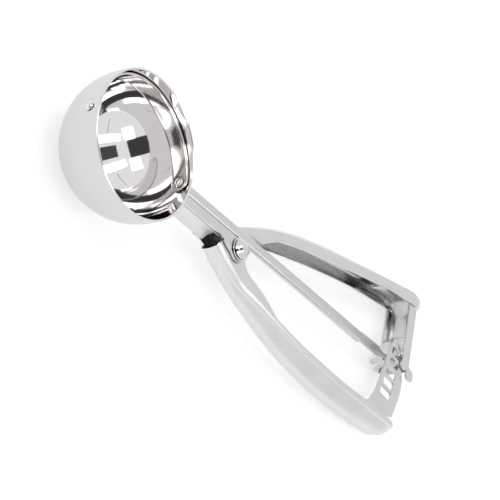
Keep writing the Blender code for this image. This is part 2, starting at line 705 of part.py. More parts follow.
def rack_point(along, across):
    """A place on the rack from its distances along the slot line and across it."""
    cosine, sine = math.cos(RACK_LEAN), math.sin(RACK_LEAN)
    across += RACK_RADIUS
    return (PIVOT.x + across * cosine - along * sine, PIVOT.y + across * sine + along * cosine)


def slot_outline(index):
    along = rack_slot_offset(index)
    near_end = -SLOT_LENGTH / 2 - LAST_SLOT_EXTRA * (index / (TOOTH_COUNT - 1)) ** 3
    half_width, half_length, corner = SLOT_WIDTH / 2, SLOT_LENGTH / 2, 0.9 * MM
    corners = [(*rack_point(along + dy, dx), corner)
               for dx, dy in ((near_end, -half_width), (half_length, -half_width),
                              (half_length, half_width), (near_end, half_width))]
    return rounded_outline(corners, 4)


def rack_outline():
    """The plate round the slots, and the arm that runs back along the squeeze handle."""
    inner = [(x * MM, interpolate(ARM_EDGE, x * MM)) for x in spread(ARM_START, 149.0, 15)]
    fillet = arc((150.9 * MM, -21.7 * MM), 4.6 * MM, 268, 337, 6)
    rail = [(157.2 * MM, -19.4 * MM), (158.9 * MM, -12.6 * MM), (159.9 * MM, -6.0 * MM),
            (161.0 * MM, -0.7 * MM)]
    lobe = arc((165.1 * MM, 2.4 * MM), 3.5 * MM, 172, 8, 10)
    right = [(168.9 * MM, 0.6 * MM), (171.0 * MM, -3.0 * MM), (172.9 * MM, -8.5 * MM),
             (173.1 * MM, -12.5 * MM), (172.6 * MM, -16.5 * MM), (170.4 * MM, -25.0 * MM),
             (168.2 * MM, -25.6 * MM)]
    outer = [(x * MM, interpolate(SQUEEZE_WEB, x * MM) + SHEET + GAP + 0.1 * MM)
             for x in spread(166.8, ARM_START, 19)]
    return inner + fillet + rail + lobe + right + outer


def build_rack():
    outlines = [rack_outline()] + [slot_outline(index) for index in range(TOOTH_COUNT)]
    mesh = plate_mesh("rack_plate", outlines, RACK_TOP - SHEET, RACK_TOP)
    flat_height = interpolate(SQUEEZE_TOP, 150 * MM)
    for vertex in mesh.vertices:
        vertex.co.z += interpolate(SQUEEZE_TOP, vertex.co.x) - flat_height
    add_part("rack_plate", mesh, BRUSHED, LEVER_AXIS)


def bracket_point(along, inward, z):
    """A place on the bracket: along it from its open end, and inward from its outer face."""
    x = BRACKET_OUTER_X - along * math.sin(BRACKET_LEAN) - inward * math.cos(BRACKET_LEAN)
    y = BRACKET_END_Y + along * math.cos(BRACKET_LEAN) - inward * math.sin(BRACKET_LEAN)
    return (x, y, z)


def bracket_row(along):
    radius = 1.1 * MM
    top = arc((radius, BRACKET_TOP - radius), radius, 90, 180, 5)
    bottom = arc((radius, BRACKET_BOTTOM + radius), radius, 180, 270, 5)
    path = [(BRACKET_FLANGE, BRACKET_TOP)] + top + bottom
    path.append((BRACKET_FLANGE - 2.0 * MM, BRACKET_BOTTOM))
    return [bracket_point(along, inward, z) for inward, z in path]


def build_bracket():
    rows = [bracket_row(along) for along in spread(0.0, BRACKET_LENGTH, 4)]
    bracket = sheet_part("end_bracket", rows, SHEET, BRUSHED, FRAME)

    lug = rounded_outline([(LUG_CENTRE.x - 3.0 * MM, -2.4 * MM, 0.0),
                           (LUG_CENTRE.x - 2.2 * MM, LUG_CENTRE.y - LUG_RADIUS, 2.1 * MM),
                           (LUG_CENTRE.x + 2.2 * MM, LUG_CENTRE.y - LUG_RADIUS, 2.1 * MM),
                           (LUG_CENTRE.x + 2.2 * MM, LUG_CENTRE.y + LUG_RADIUS, 2.1 * MM),
                           (LUG_CENTRE.x - 1.2 * MM, LUG_CENTRE.y + LUG_RADIUS + 1 * MM, 0.5 * MM)])
    lug_mesh = plate_mesh("bracket_lug", [lug], BRACKET_TOP - SHEET + 0.05 * MM,
                          BRACKET_TOP - 0.05 * MM)
    combine(bracket, add_cutter("bracket_lug", lug_mesh), "UNION")

    path = [bracket_point(BRACKET_LENGTH - 12 * MM, 0.3 * MM, 0.0)[:2],
            bracket_point(BRACKET_LENGTH - 3 * MM, 0.3 * MM, 0.0)[:2],
            (171.2 * MM, 26.6 * MM), (168.6 * MM, 28.2 * MM)]
    for x in (164.5 * MM, 158 * MM, 152 * MM):
        path.append((x, interpolate(FIXED_WEB, x) - SHEET - GAP - 0.1 * MM))
    half = 4.6 * MM
    tab = add_cutter("bracket_tab", sheet_mesh("bracket_tab", [[(x, y, -half), (x, y, half)]
                                                               for x, y in path]))
    thicken(tab, -SHEET)
    combine(bracket, tab, "UNION")

    hole = rod_mesh("journal_hole", (170 * MM, 0, 0), (178 * MM, 0, 0), JOURNAL_HOLE, 16)
    combine(bracket, add_cutter("journal_hole", hole), "DIFFERENCE")


# ------------------------------------------------------------------------------- build

clear_scene()
PARTS = new_collection("ice_cream_disher")
CUTTERS = new_collection("cutters")

MIRROR = steel("bowl_steel", (0.86, 0.85, 0.84), 0.12)
POLISHED = steel("polished_steel", (0.84, 0.83, 0.82), 0.08)
BRUSHED = steel("brushed_steel", (0.80, 0.80, 0.79), 0.32)

FRAME = new_empty("mechanism_frame", REST_MOVE)
FRAME.rotation_euler = (0.0, REST_TILT, 0.0)
LEVER_AXIS = new_empty("handle_pivot_axis", PIVOT, FRAME)
BLADE_AXIS = new_empty("blade_axis", (0.0, 0.0, 0.0), FRAME)

BOWL_TRIM = bowl_cutter()
build_bowl()
build_far_rivet()
build_blade()
build_blade_rivet()
build_shaft()
build_wheel()
build_shank(BOWL_TRIM)
build_top_plate(BOWL_TRIM)
build_pivot()
build_spring()
build_squeeze_handle()
build_fixed_handle()
build_rack()
build_bracket()
bpy.context.view_layer.update()
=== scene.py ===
"""The looks of a stainless squeeze-handle ice-cream disher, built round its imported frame.

Every visible piece is remade here as a finer mesh with rounded edges, in the place of its
CAD node. The pieces are drawn in the mechanism frame: the origin is the bowl's centre, X is
the drive shaft's axis from the bowl to the handle ends, and Z points out of the bowl's mouth.
"""
import math

import bmesh
import bpy
from mathutils import Matrix, Vector


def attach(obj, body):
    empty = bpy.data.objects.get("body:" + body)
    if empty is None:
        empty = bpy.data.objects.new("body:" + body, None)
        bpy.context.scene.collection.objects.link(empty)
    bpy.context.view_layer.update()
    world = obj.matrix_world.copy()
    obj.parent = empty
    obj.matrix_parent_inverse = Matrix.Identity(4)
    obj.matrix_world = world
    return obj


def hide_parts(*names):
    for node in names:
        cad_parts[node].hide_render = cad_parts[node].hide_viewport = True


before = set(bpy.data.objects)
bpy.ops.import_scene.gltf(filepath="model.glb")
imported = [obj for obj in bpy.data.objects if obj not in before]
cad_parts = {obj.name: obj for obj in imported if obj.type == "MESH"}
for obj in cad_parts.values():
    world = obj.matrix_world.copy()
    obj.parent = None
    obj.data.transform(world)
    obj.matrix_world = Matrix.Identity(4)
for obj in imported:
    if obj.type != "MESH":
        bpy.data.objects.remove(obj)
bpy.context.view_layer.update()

MM = 0.001

# How the disher rests.
REST_TILT = math.radians(7.09)
REST_MOVE = Vector((-74.13, 0.65, 28.0)) * MM
MECHANISM = Matrix.Translation(REST_MOVE) @ Matrix.Rotation(REST_TILT, 4, "Y")

# Shared by all the pieces.
GAP = 0.3 * MM  # clearance that keeps the solids apart
SHEET = 0.9 * MM  # handles, rack and bracket
LATHE_STEPS = 96
RIVET_STEPS = 64  # the small rivets and the pivot holes
ROD_STEPS = 48
MERGE = 1e-7  # points closer than this are one

# How far edges are rounded.
SHANK_EDGE = 0.12 * MM  # shank and shaft
BRACKET_EDGE = 0.14 * MM
RACK_EDGE = 0.15 * MM
BLADE_EDGE = 0.16 * MM
PRESSED_EDGE = 0.2 * MM  # handles, top plate and wheel
PRESSED_SEGMENTS = 3

# The angles past which an edge is shaded sharp, in degrees.
TURNED_SHARP = 50.0
RING_SHARP = 30.0

# Bowl.
BOWL_RADIUS = 28.0 * MM
BOWL_WALL = 0.9 * MM
RIM_HEIGHT = 4.7 * MM
BOWL_LIP = 0.4 * MM
BOWL_STEPS = 192
FAR_RIVET_HOLE = 1.4 * MM
SHAFT_HOLE = 1.6 * MM

# Scraper blade.
BLADE_OUTER = BOWL_RADIUS - BOWL_WALL - 0.4 * MM
BLADE_THICKNESS = 0.7 * MM
BLADE_WIDTH = 7.0 * MM
BLADE_PARK = math.radians(-7.0)

# Drive shaft.
SHAFT_HALF_WIDTH = 2.1 * MM
SHAFT_TOP = 0.6 * MM
SHAFT_BOTTOM = -1.4 * MM
SHAFT_SHEET = 0.8 * MM
SHAFT_START = 28.4 * MM
SHAFT_FOLD = 0.85 * MM  # outside radius of the channel's folds
SHAFT_FOLD_END = 148.0 * MM
SHAFT_BACK_END = 160.0 * MM
TONGUE_END = 168.6 * MM
TONGUE_HALF_WIDTH = 1.0 * MM
JOURNAL_START = 168.0 * MM
JOURNAL_END = 176.2 * MM

# Toothed wheel and rack.
PINION_X = 166.4 * MM
PINION_THICKNESS = 1.2 * MM
TOOTH_ANGLE = math.radians(45.0)
PITCH = 4.69 * MM
PITCH_RADIUS = PITCH / TOOTH_ANGLE
TOOTH_TIP = 6.8 * MM
TOOTH_WIDTH = 1.8 * MM
TOOTH_PLAY = 0.1 * MM
HUB_RADIUS = 3.6 * MM
TOOTH_COUNT = 5
SECTOR_START = math.radians(136.0)
SECTOR_END = math.radians(60.0)
WHEEL_EYE_HALF_WIDTH = 1.3 * MM
FIRST_SLOT_Y = 1.0 * MM
RACK_TOP = 5.5 * MM
SLOT_LENGTH = 6.6 * MM
SLOT_WIDTH = 3.4 * MM
LAST_SLOT_EXTRA = 0.9 * MM

# Handle pivot.
PIVOT = Vector((65.3, -6.6, 0.0)) * MM
RACK_LEAN = math.radians(-5.5)
RACK_RADIUS = 99.5 * MM
RIVET_RADIUS = 2.0 * MM
RIVET_HOLE = 2.3 * MM
RIVET_HEAD = 3.9 * MM
WASHER_RADIUS = 4.6 * MM
WASHER_THICKNESS = 0.4 * MM
SPACER_RADIUS = 3.0 * MM
PIVOT_HOLE_LOW, PIVOT_HOLE_HIGH = -14 * MM, 5 * MM

# Shank.
SHANK_SHEET = 1.0 * MM
SHANK_LEFT = -6.6 * MM
SHANK_RIGHT = 3.4 * MM
SHANK_TOP = -0.1 * MM
SHANK_RIGHT_TOP = -2.6 * MM
SHANK_BOTTOM = -9.9 * MM
SHANK_START = 22.0 * MM
SHANK_END = 61.0 * MM
PLATE_TOP = 1.2 * MM
PLATE_INNER = -2.95 * MM
EAR_RADIUS = 5.0 * MM
EAR_SQUARE_END = (72.2 * MM, PLATE_INNER)
EAR_START = 50 * MM  # the lower ear is joined to the sleeve from here
SLEEVE_SOCKET_START = 48 * MM  # from here on the sleeve's inside is painted near black, as painted shade
HANDLE_SOCKET_END = 67 * MM  # and the squeeze handle up to here

# Handles, as tables of x and a value in millimetres.
SQUEEZE_WEB = (
    (55, -10.3), (60, -13.2), (65, -15.6), (70, -17.6), (76, -19.7), (84, -22.0), (94, -24.3),
    (107, -26.8), (126, -28.8), (148, -29.5), (168, -28.9))
SQUEEZE_TOP_EDGE = (
    (55, -9.3), (58, -6.4), (61, -3.9), (65, -3.0), (69, -4.6), (72, -9.4), (75, -12.2),
    (79, -14.4), (85, -17.4), (94, -22.4), (107, -25.0), (126, -27.0), (148, -27.7), (168, -27.1))
SQUEEZE_BOTTOM_EDGE = (
    (55, -9.3), (58, -6.4), (61, -3.9), (65, -3.0), (69, -4.6), (72, -9.0), (76, -13.0),
    (85, -17.6), (94, -20.6), (107, -23.3), (126, -25.4), (148, -26.2), (168, -25.8))
SQUEEZE_TOP = (
    (55, -0.1), (67, -0.1), (73, -0.1), (78, 1.1), (84, 2.2), (94, 3.4), (107, 4.6), (126, 5.9),
    (140, 6.5), (150, 6.7), (168, 6.7))
SQUEEZE_BULGE = (
    (55, 0.4), (68, 0.7), (84, 2.0), (100, 3.6), (126, 4.7), (148, 4.5), (168, 3.4))
FIXED_WEB = (
    (53, 2.05), (61, 2.1), (65, 3.9), (70, 6.3), (78, 9.9), (86, 12.9), (91, 14.3), (100, 16.5),
    (114, 19.4), (131, 22.5), (150, 26.6), (168, 30.4))
FIXED_TOP_EDGE = (
    (53, 0.9), (61, 1.0), (65, 2.5), (70, 3.1), (78, 3.1), (81, 5.0), (86, 8.0), (91, 9.6),
    (100, 11.7), (118, 15.3), (145, 20.9), (168, 24.4))
FIXED_BOTTOM_EDGE = (
    (53, -1.2), (61, -1.2), (70, 1.4), (80, 5.0), (89, 7.9), (98, 10.6), (107, 13.0), (118, 15.8),
    (142, 21.0), (168, 24.9))
FIXED_TOP = (
    (53, -2.95), (61, -2.95), (65, -2.1), (70, -1.0), (78, 0.5), (86, 1.9), (91, 2.7), (100, 4.0),
    (114, 5.4), (131, 6.6), (145, 7.05), (168, 7.1))
FIXED_BULGE = (
    (53, 0.1), (61, 0.1), (70, 0.6), (84, 1.8), (100, 3.0), (126, 3.6), (150, 3.2), (168, 2.4))
HANDLE_BOTTOM = (
    (53, -8.6), (70, -8.6), (90, -8.3), (110, -7.9), (135, -7.3), (150, -7.1), (168, -7.1))
HANDLE_CORNER = 1.3 * MM  # outside radius of the fold at the top edge
ROOT_CORNER = 2.6 * MM  # the squeeze handle is rounder near its pivot
SQUEEZE_CAP_X = 165.8 * MM  # the squeeze handle's closed end starts here
SQUEEZE_CAP_Y = -26.2 * MM  # and closes on this line
SQUEEZE_END_X = 176.2 * MM
SQUEEZE_SQUARENESS = 0.9  # less than 1 fills the cap's corners out
FIXED_CAP_X = 168.0 * MM
FIXED_CAP_Y = 26.6 * MM
FIXED_END_X = 177.3 * MM
FIXED_SQUARENESS = 0.42
HANDLE_ROWS = 141
CAP_ROWS = 33
CHANNEL_MIDDLE = 3.0 * MM  # how far inside the web a channel's middle lies

# Rack arm, which lies under the squeeze handle's lip, in millimetres like the tables.
ARM_START = 85.0
ARM_END = 149.0
ARM_EDGE = ((85, -18.2), (94, -21.1), (110, -24.1), (127, -25.8), (140, -26.5), (151, -26.3))

# End bracket: a channel across the fixed handle's end, open towards the bowl.
BRACKET_TOP = 6.7 * MM
BRACKET_BOTTOM = -6.3 * MM
BRACKET_LEAN = math.radians(3.7)
BRACKET_OUTER_X = 175.0 * MM  # outer face at the open end
BRACKET_END_Y = -3.0 * MM
BRACKET_LENGTH = 27.6 * MM
BRACKET_FLANGE = 5.8 * MM
LUG_CENTRE = Vector((175.8, -4.4, 0.0)) * MM
LUG_RADIUS = 2.2 * MM
JOURNAL_RADIUS = 1.1 * MM
JOURNAL_HOLE = 1.45 * MM

# The camera, in the mechanism frame: where it stands, and its right, up and backward axes.
CAMERA_PLACE = Vector((-629.3, -487.6, 608.3)) * MM
CAMERA_AXES = ((0.566, 0.188, 0.803), (-0.481, 0.866, 0.136), (-0.670, -0.463, 0.581))
CAMERA_LENS_MM = 201.3

# The studio, in metres, whose layout follows the camera's heading.
TOWARD_CAMERA = Vector((-0.788, -0.616, 0.0))
ACROSS_CAMERA = Vector((0.616, -0.788, 0.0))
DOWN = Vector((0.0, 0.0, -1.0))
STUDIO_AIM = Vector((0.0, 0.0, 0.03))
WORLD_STRENGTH = 0.92
TABLE_GLOW = 0.48
TABLE_REACH = 3.0
MATT = 0.9
CEILING = 1.3
STRIPS = (("strip_right", 0.53, 1.04), ("strip_left", -0.47, 0.98))  # name, across, length
STRIP_TOWARD = 0.12
STRIP_WIDTH = 0.28
STRIP_RADIANCE = 3.2
OPENING_TOWARD, OPENING_ACROSS = 0.08, 0.04
OPENING_SIZE = (0.64, 0.42)
JOINT_TOWARD, JOINT_ACROSS = 0.1, 1.15
JOINT_SIZE = (0.85, 0.022)
FRONTS = (("front_right", 0.68), ("front_left", -0.70))  # name, across
FRONT_TOWARD, FRONT_HEIGHT = 1.0, 1.22
FRONT_SIZE = (0.56, 0.50)
FRONT_RADIANCE = 2.6
CAMERA_SIDE_TOWARD, CAMERA_SIDE_HEIGHT = 1.15, 0.85
CAMERA_SIDE_SIZE = (0.70, 1.0)


# ---- shape tools

def interpolate(table, x):
    """A smooth curve through (x, value) pairs given in millimetres, in metres."""
    x = x / MM
    last = len(table) - 1
    if x <= table[0][0]:
        return table[0][1] * MM
    if x >= table[last][0]:
        return table[last][1] * MM
    index = max(i for i in range(last) if table[i][0] <= x)

    def slope(i):
        low, high = max(i - 1, 0), min(i + 1, last)
        return (table[high][1] - table[low][1]) / (table[high][0] - table[low][0])

    (x0, y0), (x1, y1) = table[index], table[index + 1]
    span = x1 - x0
    t = (x - x0) / span
    value = (y0 * (1 + 2 * t) * (1 - t) ** 2 + y1 * t * t * (3 - 2 * t)
             + slope(index) * span * t * (1 - t) ** 2 - slope(index + 1) * span * t * t * (1 - t))
    return value * MM


def spread(start, end, count):
    """Evenly spaced values from a start to an end."""
    return [start + (end - start) * i / (count - 1) for i in range(count)]


def arc(centre, radius, start, end, count):
    """Points of a circle's arc between two angles in degrees."""
    angles = spread(math.radians(start), math.radians(end), count)
    return [(centre[0] + radius * math.cos(a), centre[1] + radius * math.sin(a)) for a in angles]


def rounded_outline(corners, arc_points):
    """A closed outline from (x, y, corner radius) triples."""
    outline = []
    for index, (x, y, radius) in enumerate(corners):
        here = Vector((x, y))
        before = (Vector(corners[index - 1][:2]) - here).normalized()
        after = (Vector(corners[(index + 1) % len(corners)][:2]) - here).normalized()
        if radius <= 0.0:
            outline.append((x, y))
            continue
        half_angle = before.angle(after) / 2
        centre = here + (before + after).normalized() * radius / math.sin(half_angle)
        foot = here + before * radius / math.tan(half_angle) - centre
        turn = math.pi - 2 * half_angle
        if before.cross(after) > 0:
            turn = -turn
        for step in spread(0.0, turn, arc_points):
            cosine, sine = math.cos(step), math.sin(step)
            outline.append((centre.x + foot.x * cosine - foot.y * sine,
                            centre.y + foot.x * sine + foot.y * cosine))
    return outline


def written(name, bm):
    """A new mesh from the points and faces as they are."""
    mesh = bpy.data.meshes.new(name)
    bm.to_mesh(mesh)
    bm.free()
    return mesh


def mesh_from(name, bm):
    """A new mesh with its doubled points merged and its faces turned outward."""
    bmesh.ops.remove_doubles(bm, verts=bm.verts, dist=MERGE)
    bmesh.ops.recalc_face_normals(bm, faces=bm.faces)
    return written(name, bm)


def add_object(name, data):
    """A new object in the scene."""
    obj = bpy.data.objects.new(name, data)
    bpy.context.scene.collection.objects.link(obj)
    return obj


def place(name, data):
    """A new object in the mechanism frame."""
    obj = add_object(name, data)
    obj.matrix_world = MECHANISM
    return obj


def filled_curve(name, curve):
    """The points and faces that a curve makes. The curve itself is dropped."""
    holder = place(name, curve)
    depsgraph = bpy.context.evaluated_depsgraph_get()
    loose = bpy.data.meshes.new_from_object(holder.evaluated_get(depsgraph))
    bpy.data.objects.remove(holder, do_unlink=True)
    bpy.data.curves.remove(curve)
    bm = bmesh.new()
    bm.from_mesh(loose)
    return bm


def plate_mesh(name, outlines, bottom, top):
    """A flat plate: a filled 2D curve, whose later outlines are its openings."""
    curve = bpy.data.curves.new(name, "CURVE")
    curve.dimensions = "2D"
    curve.fill_mode = "BOTH"
    curve.extrude = (top - bottom) / 2
    for outline in outlines:
        spline = curve.splines.new("POLY")
        spline.points.add(len(outline) - 1)
        for point, (x, y) in zip(spline.points, outline):
            point.co = (x, y, 0.0, 1.0)
        spline.use_cyclic_u = True
    bm = filled_curve(name, curve)
    for vertex in bm.verts:
        vertex.co.z += (top + bottom) / 2
    return mesh_from(name, bm)


def skin(bm, rows):
    """Four-sided faces between neighbouring rows of points."""
    for here, following in zip(rows, rows[1:]):
        for corners in zip(here, here[1:], following[1:], following):
            bm.faces.new(corners)


def lathe_mesh(name, profile, steps=LATHE_STEPS, closed=False, axis="Z", move=(0.0, 0.0, 0.0)):
    """A turned body from (radius, height) points, laid along one axis."""
    ends = profile + profile[:1] if closed else profile
    aim = {"Z": Matrix.Identity(3), "X": Matrix.Rotation(math.pi / 2, 3, "Y"),
           "-X": Matrix.Rotation(-math.pi / 2, 3, "Y")}[axis]
    bm = bmesh.new()
    rings = []
    for step in range(steps):
        turn = 2 * math.pi * step / steps
        rings.append([bm.verts.new(aim @ Vector((r * math.cos(turn), r * math.sin(turn), z))
                                   + Vector(move)) for r, z in ends])
    skin(bm, rings + rings[:1])
    bmesh.ops.remove_doubles(bm, verts=bm.verts, dist=MERGE)
    bmesh.ops.dissolve_degenerate(bm, edges=bm.edges, dist=MERGE)
    return mesh_from(name, bm)


def sheet_mesh(name, rows):
    """An open sheet through rows of points."""
    bm = bmesh.new()
    skin(bm, [[bm.verts.new(point) for point in row] for row in rows])
    return written(name, bm)


def thicken(obj, thickness, even=True):
    """Give a sheet its thickness, behind the face it was drawn on."""
    solidify = obj.modifiers.new("Sheet", "SOLIDIFY")
    solidify.thickness = thickness
    solidify.offset = -1.0
    solidify.use_even_offset = even
    bake(obj)


def rod_mesh(name, start, end, radius, sides=ROD_STEPS):
    """A cylinder between two points."""
    start, end = Vector(start), Vector(end)
    bm = bmesh.new()
    bmesh.ops.create_cone(bm, cap_ends=True, segments=sides, radius1=radius, radius2=radius,
                          depth=(end - start).length)
    turn = (end - start).to_track_quat("Z", "Y")
    for vertex in bm.verts:
        vertex.co = turn @ vertex.co + (start + end) / 2
    return written(name, bm)


def combine(obj, mesh, operation="DIFFERENCE"):
    """Cut a mesh from a piece, or join it on."""
    apply_boolean(obj, place(mesh.name, mesh), operation)


def apply_boolean(obj, operand, operation):
    """Cut one piece from another, or join it on, and drop it."""
    boolean = obj.modifiers.new(operand.name, "BOOLEAN")
    boolean.object = operand
    boolean.operation = operation
    boolean.solver = "EXACT"
    bake(obj)
    bpy.data.objects.remove(operand, do_unlink=True)


def bake(obj):
    """Turn the modifiers into the piece's own mesh."""
    bpy.context.view_layer.update()
    depsgraph = bpy.context.evaluated_depsgraph_get()
    mesh = bpy.data.meshes.new_from_object(obj.evaluated_get(depsgraph))
    obj.modifiers.clear()
    obj.data = mesh


def round_edges(obj, width, segments=2):
    """Round the edges where a piece's faces turn by more than 48 degrees."""
    bevel = obj.modifiers.new("Edges", "BEVEL")
    bevel.width = width
    bevel.segments = segments
    bevel.limit_method = "ANGLE"
    bevel.angle_limit = math.radians(48.0)
    bevel.use_clamp_overlap = True
    bake(obj)


def settle(obj, node, material, body, sharp=40.0):
    """Finish a piece: smooth it, give it its steel and let it stand for its CAD node."""
    mesh = obj.data
    mesh.materials.clear()
    mesh.materials.append(material)
    mesh.polygons.foreach_set("use_smooth", [True] * len(mesh.polygons))
    mesh.set_sharp_from_angle(angle=math.radians(sharp))
    obj.name = node + "_fine"
    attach(obj, body)
    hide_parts(node)
    return obj


def dome_profile(radius, height, base, stem_radius, stem_end):
    """Half a rivet's outline: a ball-shaped head on a plain stem, top to bottom."""
    ball = (radius ** 2 + height ** 2) / (2 * height)
    head = [(ball * math.sin(a), base + height - ball * (1 - math.cos(a)))
            for a in spread(0.0, math.asin(radius / ball), 25)]
    return head + [(radius, base), (stem_radius, base), (stem_radius, stem_end)]


def finish_or_shade_inside(obj, material, centre_at):
    """Give the faces that look toward a section's centre a material of their own: a real finish,
    or painted shade.
    """
    obj.data.materials.append(material)
    for face in obj.data.polygons:
        centre = centre_at(face.center)
        if centre and (centre - face.center).dot(face.normal) > 0.0:
            face.material_index = len(obj.data.materials) - 1


# ---- materials

class Nodes:
    """Short names for building one Principled material's node tree."""

    def __init__(self, name, colour, metallic, roughness):
        self.material = bpy.data.materials.new(name)
        self.material.use_nodes = True
        self.tree = self.material.node_tree
        self.shader = self.tree.nodes["Principled BSDF"]
        self.shader.inputs["Base Color"].default_value = (*colour, 1.0)
        self.shader.inputs["Metallic"].default_value = metallic
        self.shader.inputs["Roughness"].default_value = roughness
        self.place = self.add("ShaderNodeTexCoord").outputs["Object"]

    def add(self, kind, **settings):
        """A new node, with its sockets and properties set by name."""
        node = self.tree.nodes.new(kind)
        for key, value in settings.items():
            if key in node.inputs:
                node.inputs[key].default_value = value
            else:
                setattr(node, key, value)
        return node

    def link(self, source, target):
        self.tree.links.new(source, target)

    def noise(self, stretch, detail=3.0, source=None):
        """Noise whose grain is 1 / stretch metres, the same or different along each axis."""
        if isinstance(stretch, float):
            stretch = (stretch,) * 3
        mapping = self.add("ShaderNodeMapping", Scale=stretch)
        self.link(source or self.place, mapping.inputs["Vector"])
        noise = self.add("ShaderNodeTexNoise", Scale=1.0, Detail=detail, Roughness=0.6)
        self.link(mapping.outputs["Vector"], noise.inputs["Vector"])
        return noise.outputs["Fac"]

    def spread(self, value, low, high, low_in=0.3, high_in=0.7):
        """Map a value from one range to another."""
        node = self.add("ShaderNodeMapRange", **{"From Min": low_in, "From Max": high_in,
                                                 "To Min": low, "To Max": high})
        self.link(value, node.inputs["Value"])
        return node.outputs["Result"]

    def mathematics(self, operation, first, second):
        """One step of arithmetic, on sockets or plain numbers."""
        node = self.add("ShaderNodeMath", operation=operation)
        for socket, value in zip(node.inputs, (first, second)):
            if isinstance(value, float):
                socket.default_value = value
            else:
                self.link(value, socket)
        return node.outputs["Value"]

    def bumps(self, layers):
        """Stack (height, strength, distance) bump layers into the shader's normal."""
        normal = None
        for height, strength, distance in layers:
            bump = self.add("ShaderNodeBump", Strength=strength, Distance=distance)
            self.link(height, bump.inputs["Height"])
            if normal:
                self.link(normal, bump.inputs["Normal"])
            normal = bump.outputs["Normal"]
        self.link(normal, self.shader.inputs["Normal"])

    def tint(self, factor, dark, light):
        """Vary the base colour between two colours."""
        mix = self.add("ShaderNodeMix", data_type="RGBA")
        ends = {"A": dark, "B": light}
        for socket in mix.inputs:
            if socket.type == "RGBA":
                socket.default_value = (*ends[socket.name], 1.0)
        self.link(factor, mix.inputs["Factor"])
        colour = next(o for o in mix.outputs if o.type == "RGBA")
        self.link(colour, self.shader.inputs["Base Color"])

    def worn_edges(self, roughness, polish):
        """Rubbed edges are smoother than the faces beside them."""
        geometry = self.add("ShaderNodeNewGeometry")
        edge = self.spread(geometry.outputs["Pointiness"], 0.0, 1.0, 0.52, 0.60)
        rubbed = self.mathematics("MULTIPLY", edge, polish)
        self.link(self.mathematics("SUBTRACT", roughness, rubbed),
                  self.shader.inputs["Roughness"])


def brushed_steel(name, colour, roughness, along):
    """Satin steel with fine scratches in one direction, and faint cloudy handling marks."""
    nodes = Nodes(name, colour, 1.0, roughness)
    coarse = {"X": (25.0, 2400.0, 2400.0), "Y": (2400.0, 25.0, 2400.0)}[along]
    lines = nodes.noise(coarse, 4.0)
    fine = nodes.noise(tuple(3.0 * value for value in coarse), 2.0)
    cloud = nodes.noise(90.0, 3.0)
    rough = nodes.mathematics("ADD", nodes.spread(lines, roughness - 0.05, roughness + 0.06),
                              nodes.spread(cloud, -0.03, 0.04))
    nodes.worn_edges(rough, 0.14)
    nodes.tint(nodes.mathematics("MULTIPLY", lines, cloud),
               tuple(0.86 * value for value in colour), tuple(1.10 * value for value in colour))
    nodes.bumps([(lines, 0.22, 0.00008), (fine, 0.12, 0.00004)])
    return nodes.material


def blasted_steel(name, colour, roughness):
    """Steel blasted to an even fine grain, as on the outside of the bowl."""
    nodes = Nodes(name, colour, 1.0, roughness)
    grain = nodes.noise(5200.0, 2.0)
    cloud = nodes.noise(70.0, 4.0)
    rough = nodes.mathematics("ADD", nodes.spread(grain, roughness - 0.04, roughness + 0.05),
                              nodes.spread(cloud, -0.03, 0.03))
    nodes.worn_edges(rough, 0.2)
    nodes.tint(cloud, tuple(0.96 * value for value in colour),
               tuple(1.03 * value for value in colour))
    nodes.bumps([(grain, 0.16, 0.00005)])
    return nodes.material


def polished_steel(name, colour, roughness):
    """Mirror-bright steel with hairline scratches and a slightly uneven surface."""
    nodes = Nodes(name, colour, 1.0, roughness)
    waves = nodes.noise(55.0, 1.0)
    hairs = nodes.noise((300.0, 4000.0, 900.0), 3.0)
    marks = nodes.noise(120.0, 3.0)
    rough = nodes.mathematics("ADD", nodes.spread(hairs, roughness, roughness + 0.03, 0.45, 0.75),
                              nodes.spread(marks, 0.0, 0.03))
    nodes.link(rough, nodes.shader.inputs["Roughness"])
    nodes.bumps([(waves, 0.10, 0.0006), (hairs, 0.03, 0.00002)])
    return nodes.material


def spun_mirror(name, colour, roughness):
    """The bowl's inside: a mirror with faint rings left by spinning and polishing."""
    nodes = Nodes(name, colour, 1.0, roughness)
    flat = nodes.add("ShaderNodeSeparateXYZ")
    nodes.link(nodes.place, flat.inputs["Vector"])
    radius = nodes.mathematics(
        "SQRT",
        nodes.mathematics("ADD",
                          nodes.mathematics("MULTIPLY", flat.outputs["X"], flat.outputs["X"]),
                          nodes.mathematics("MULTIPLY", flat.outputs["Y"], flat.outputs["Y"])),
        0.0)
    ring_place = nodes.add("ShaderNodeCombineXYZ")
    nodes.link(radius, ring_place.inputs["X"])
    nodes.link(flat.outputs["Z"], ring_place.inputs["Y"])
    rings = nodes.noise((1500.0, 1500.0, 1.0), 3.0, ring_place.outputs["Vector"])
    broad = nodes.noise((230.0, 230.0, 1.0), 2.0, ring_place.outputs["Vector"])
    waves = nodes.noise(38.0, 1.0)
    marks = nodes.noise(160.0, 3.0)
    rough = nodes.mathematics("ADD", nodes.spread(rings, roughness, roughness + 0.03),
                              nodes.spread(marks, 0.0, 0.02))
    nodes.link(rough, nodes.shader.inputs["Roughness"])
    nodes.bumps([(waves, 0.22, 0.0009), (broad, 0.12, 0.00012), (rings, 0.05, 0.00002)])
    return nodes.material


# ---- bowl

def bowl_profile(radius, rim):
    """A hemisphere's outside from the rim down, with the straight band above it."""
    curve = [(radius * math.cos(a), -radius * math.sin(a)) for a in spread(0.0, math.pi / 2, 61)]
    curve[-1] = (0.0, -radius)
    return [(radius, rim)] + curve


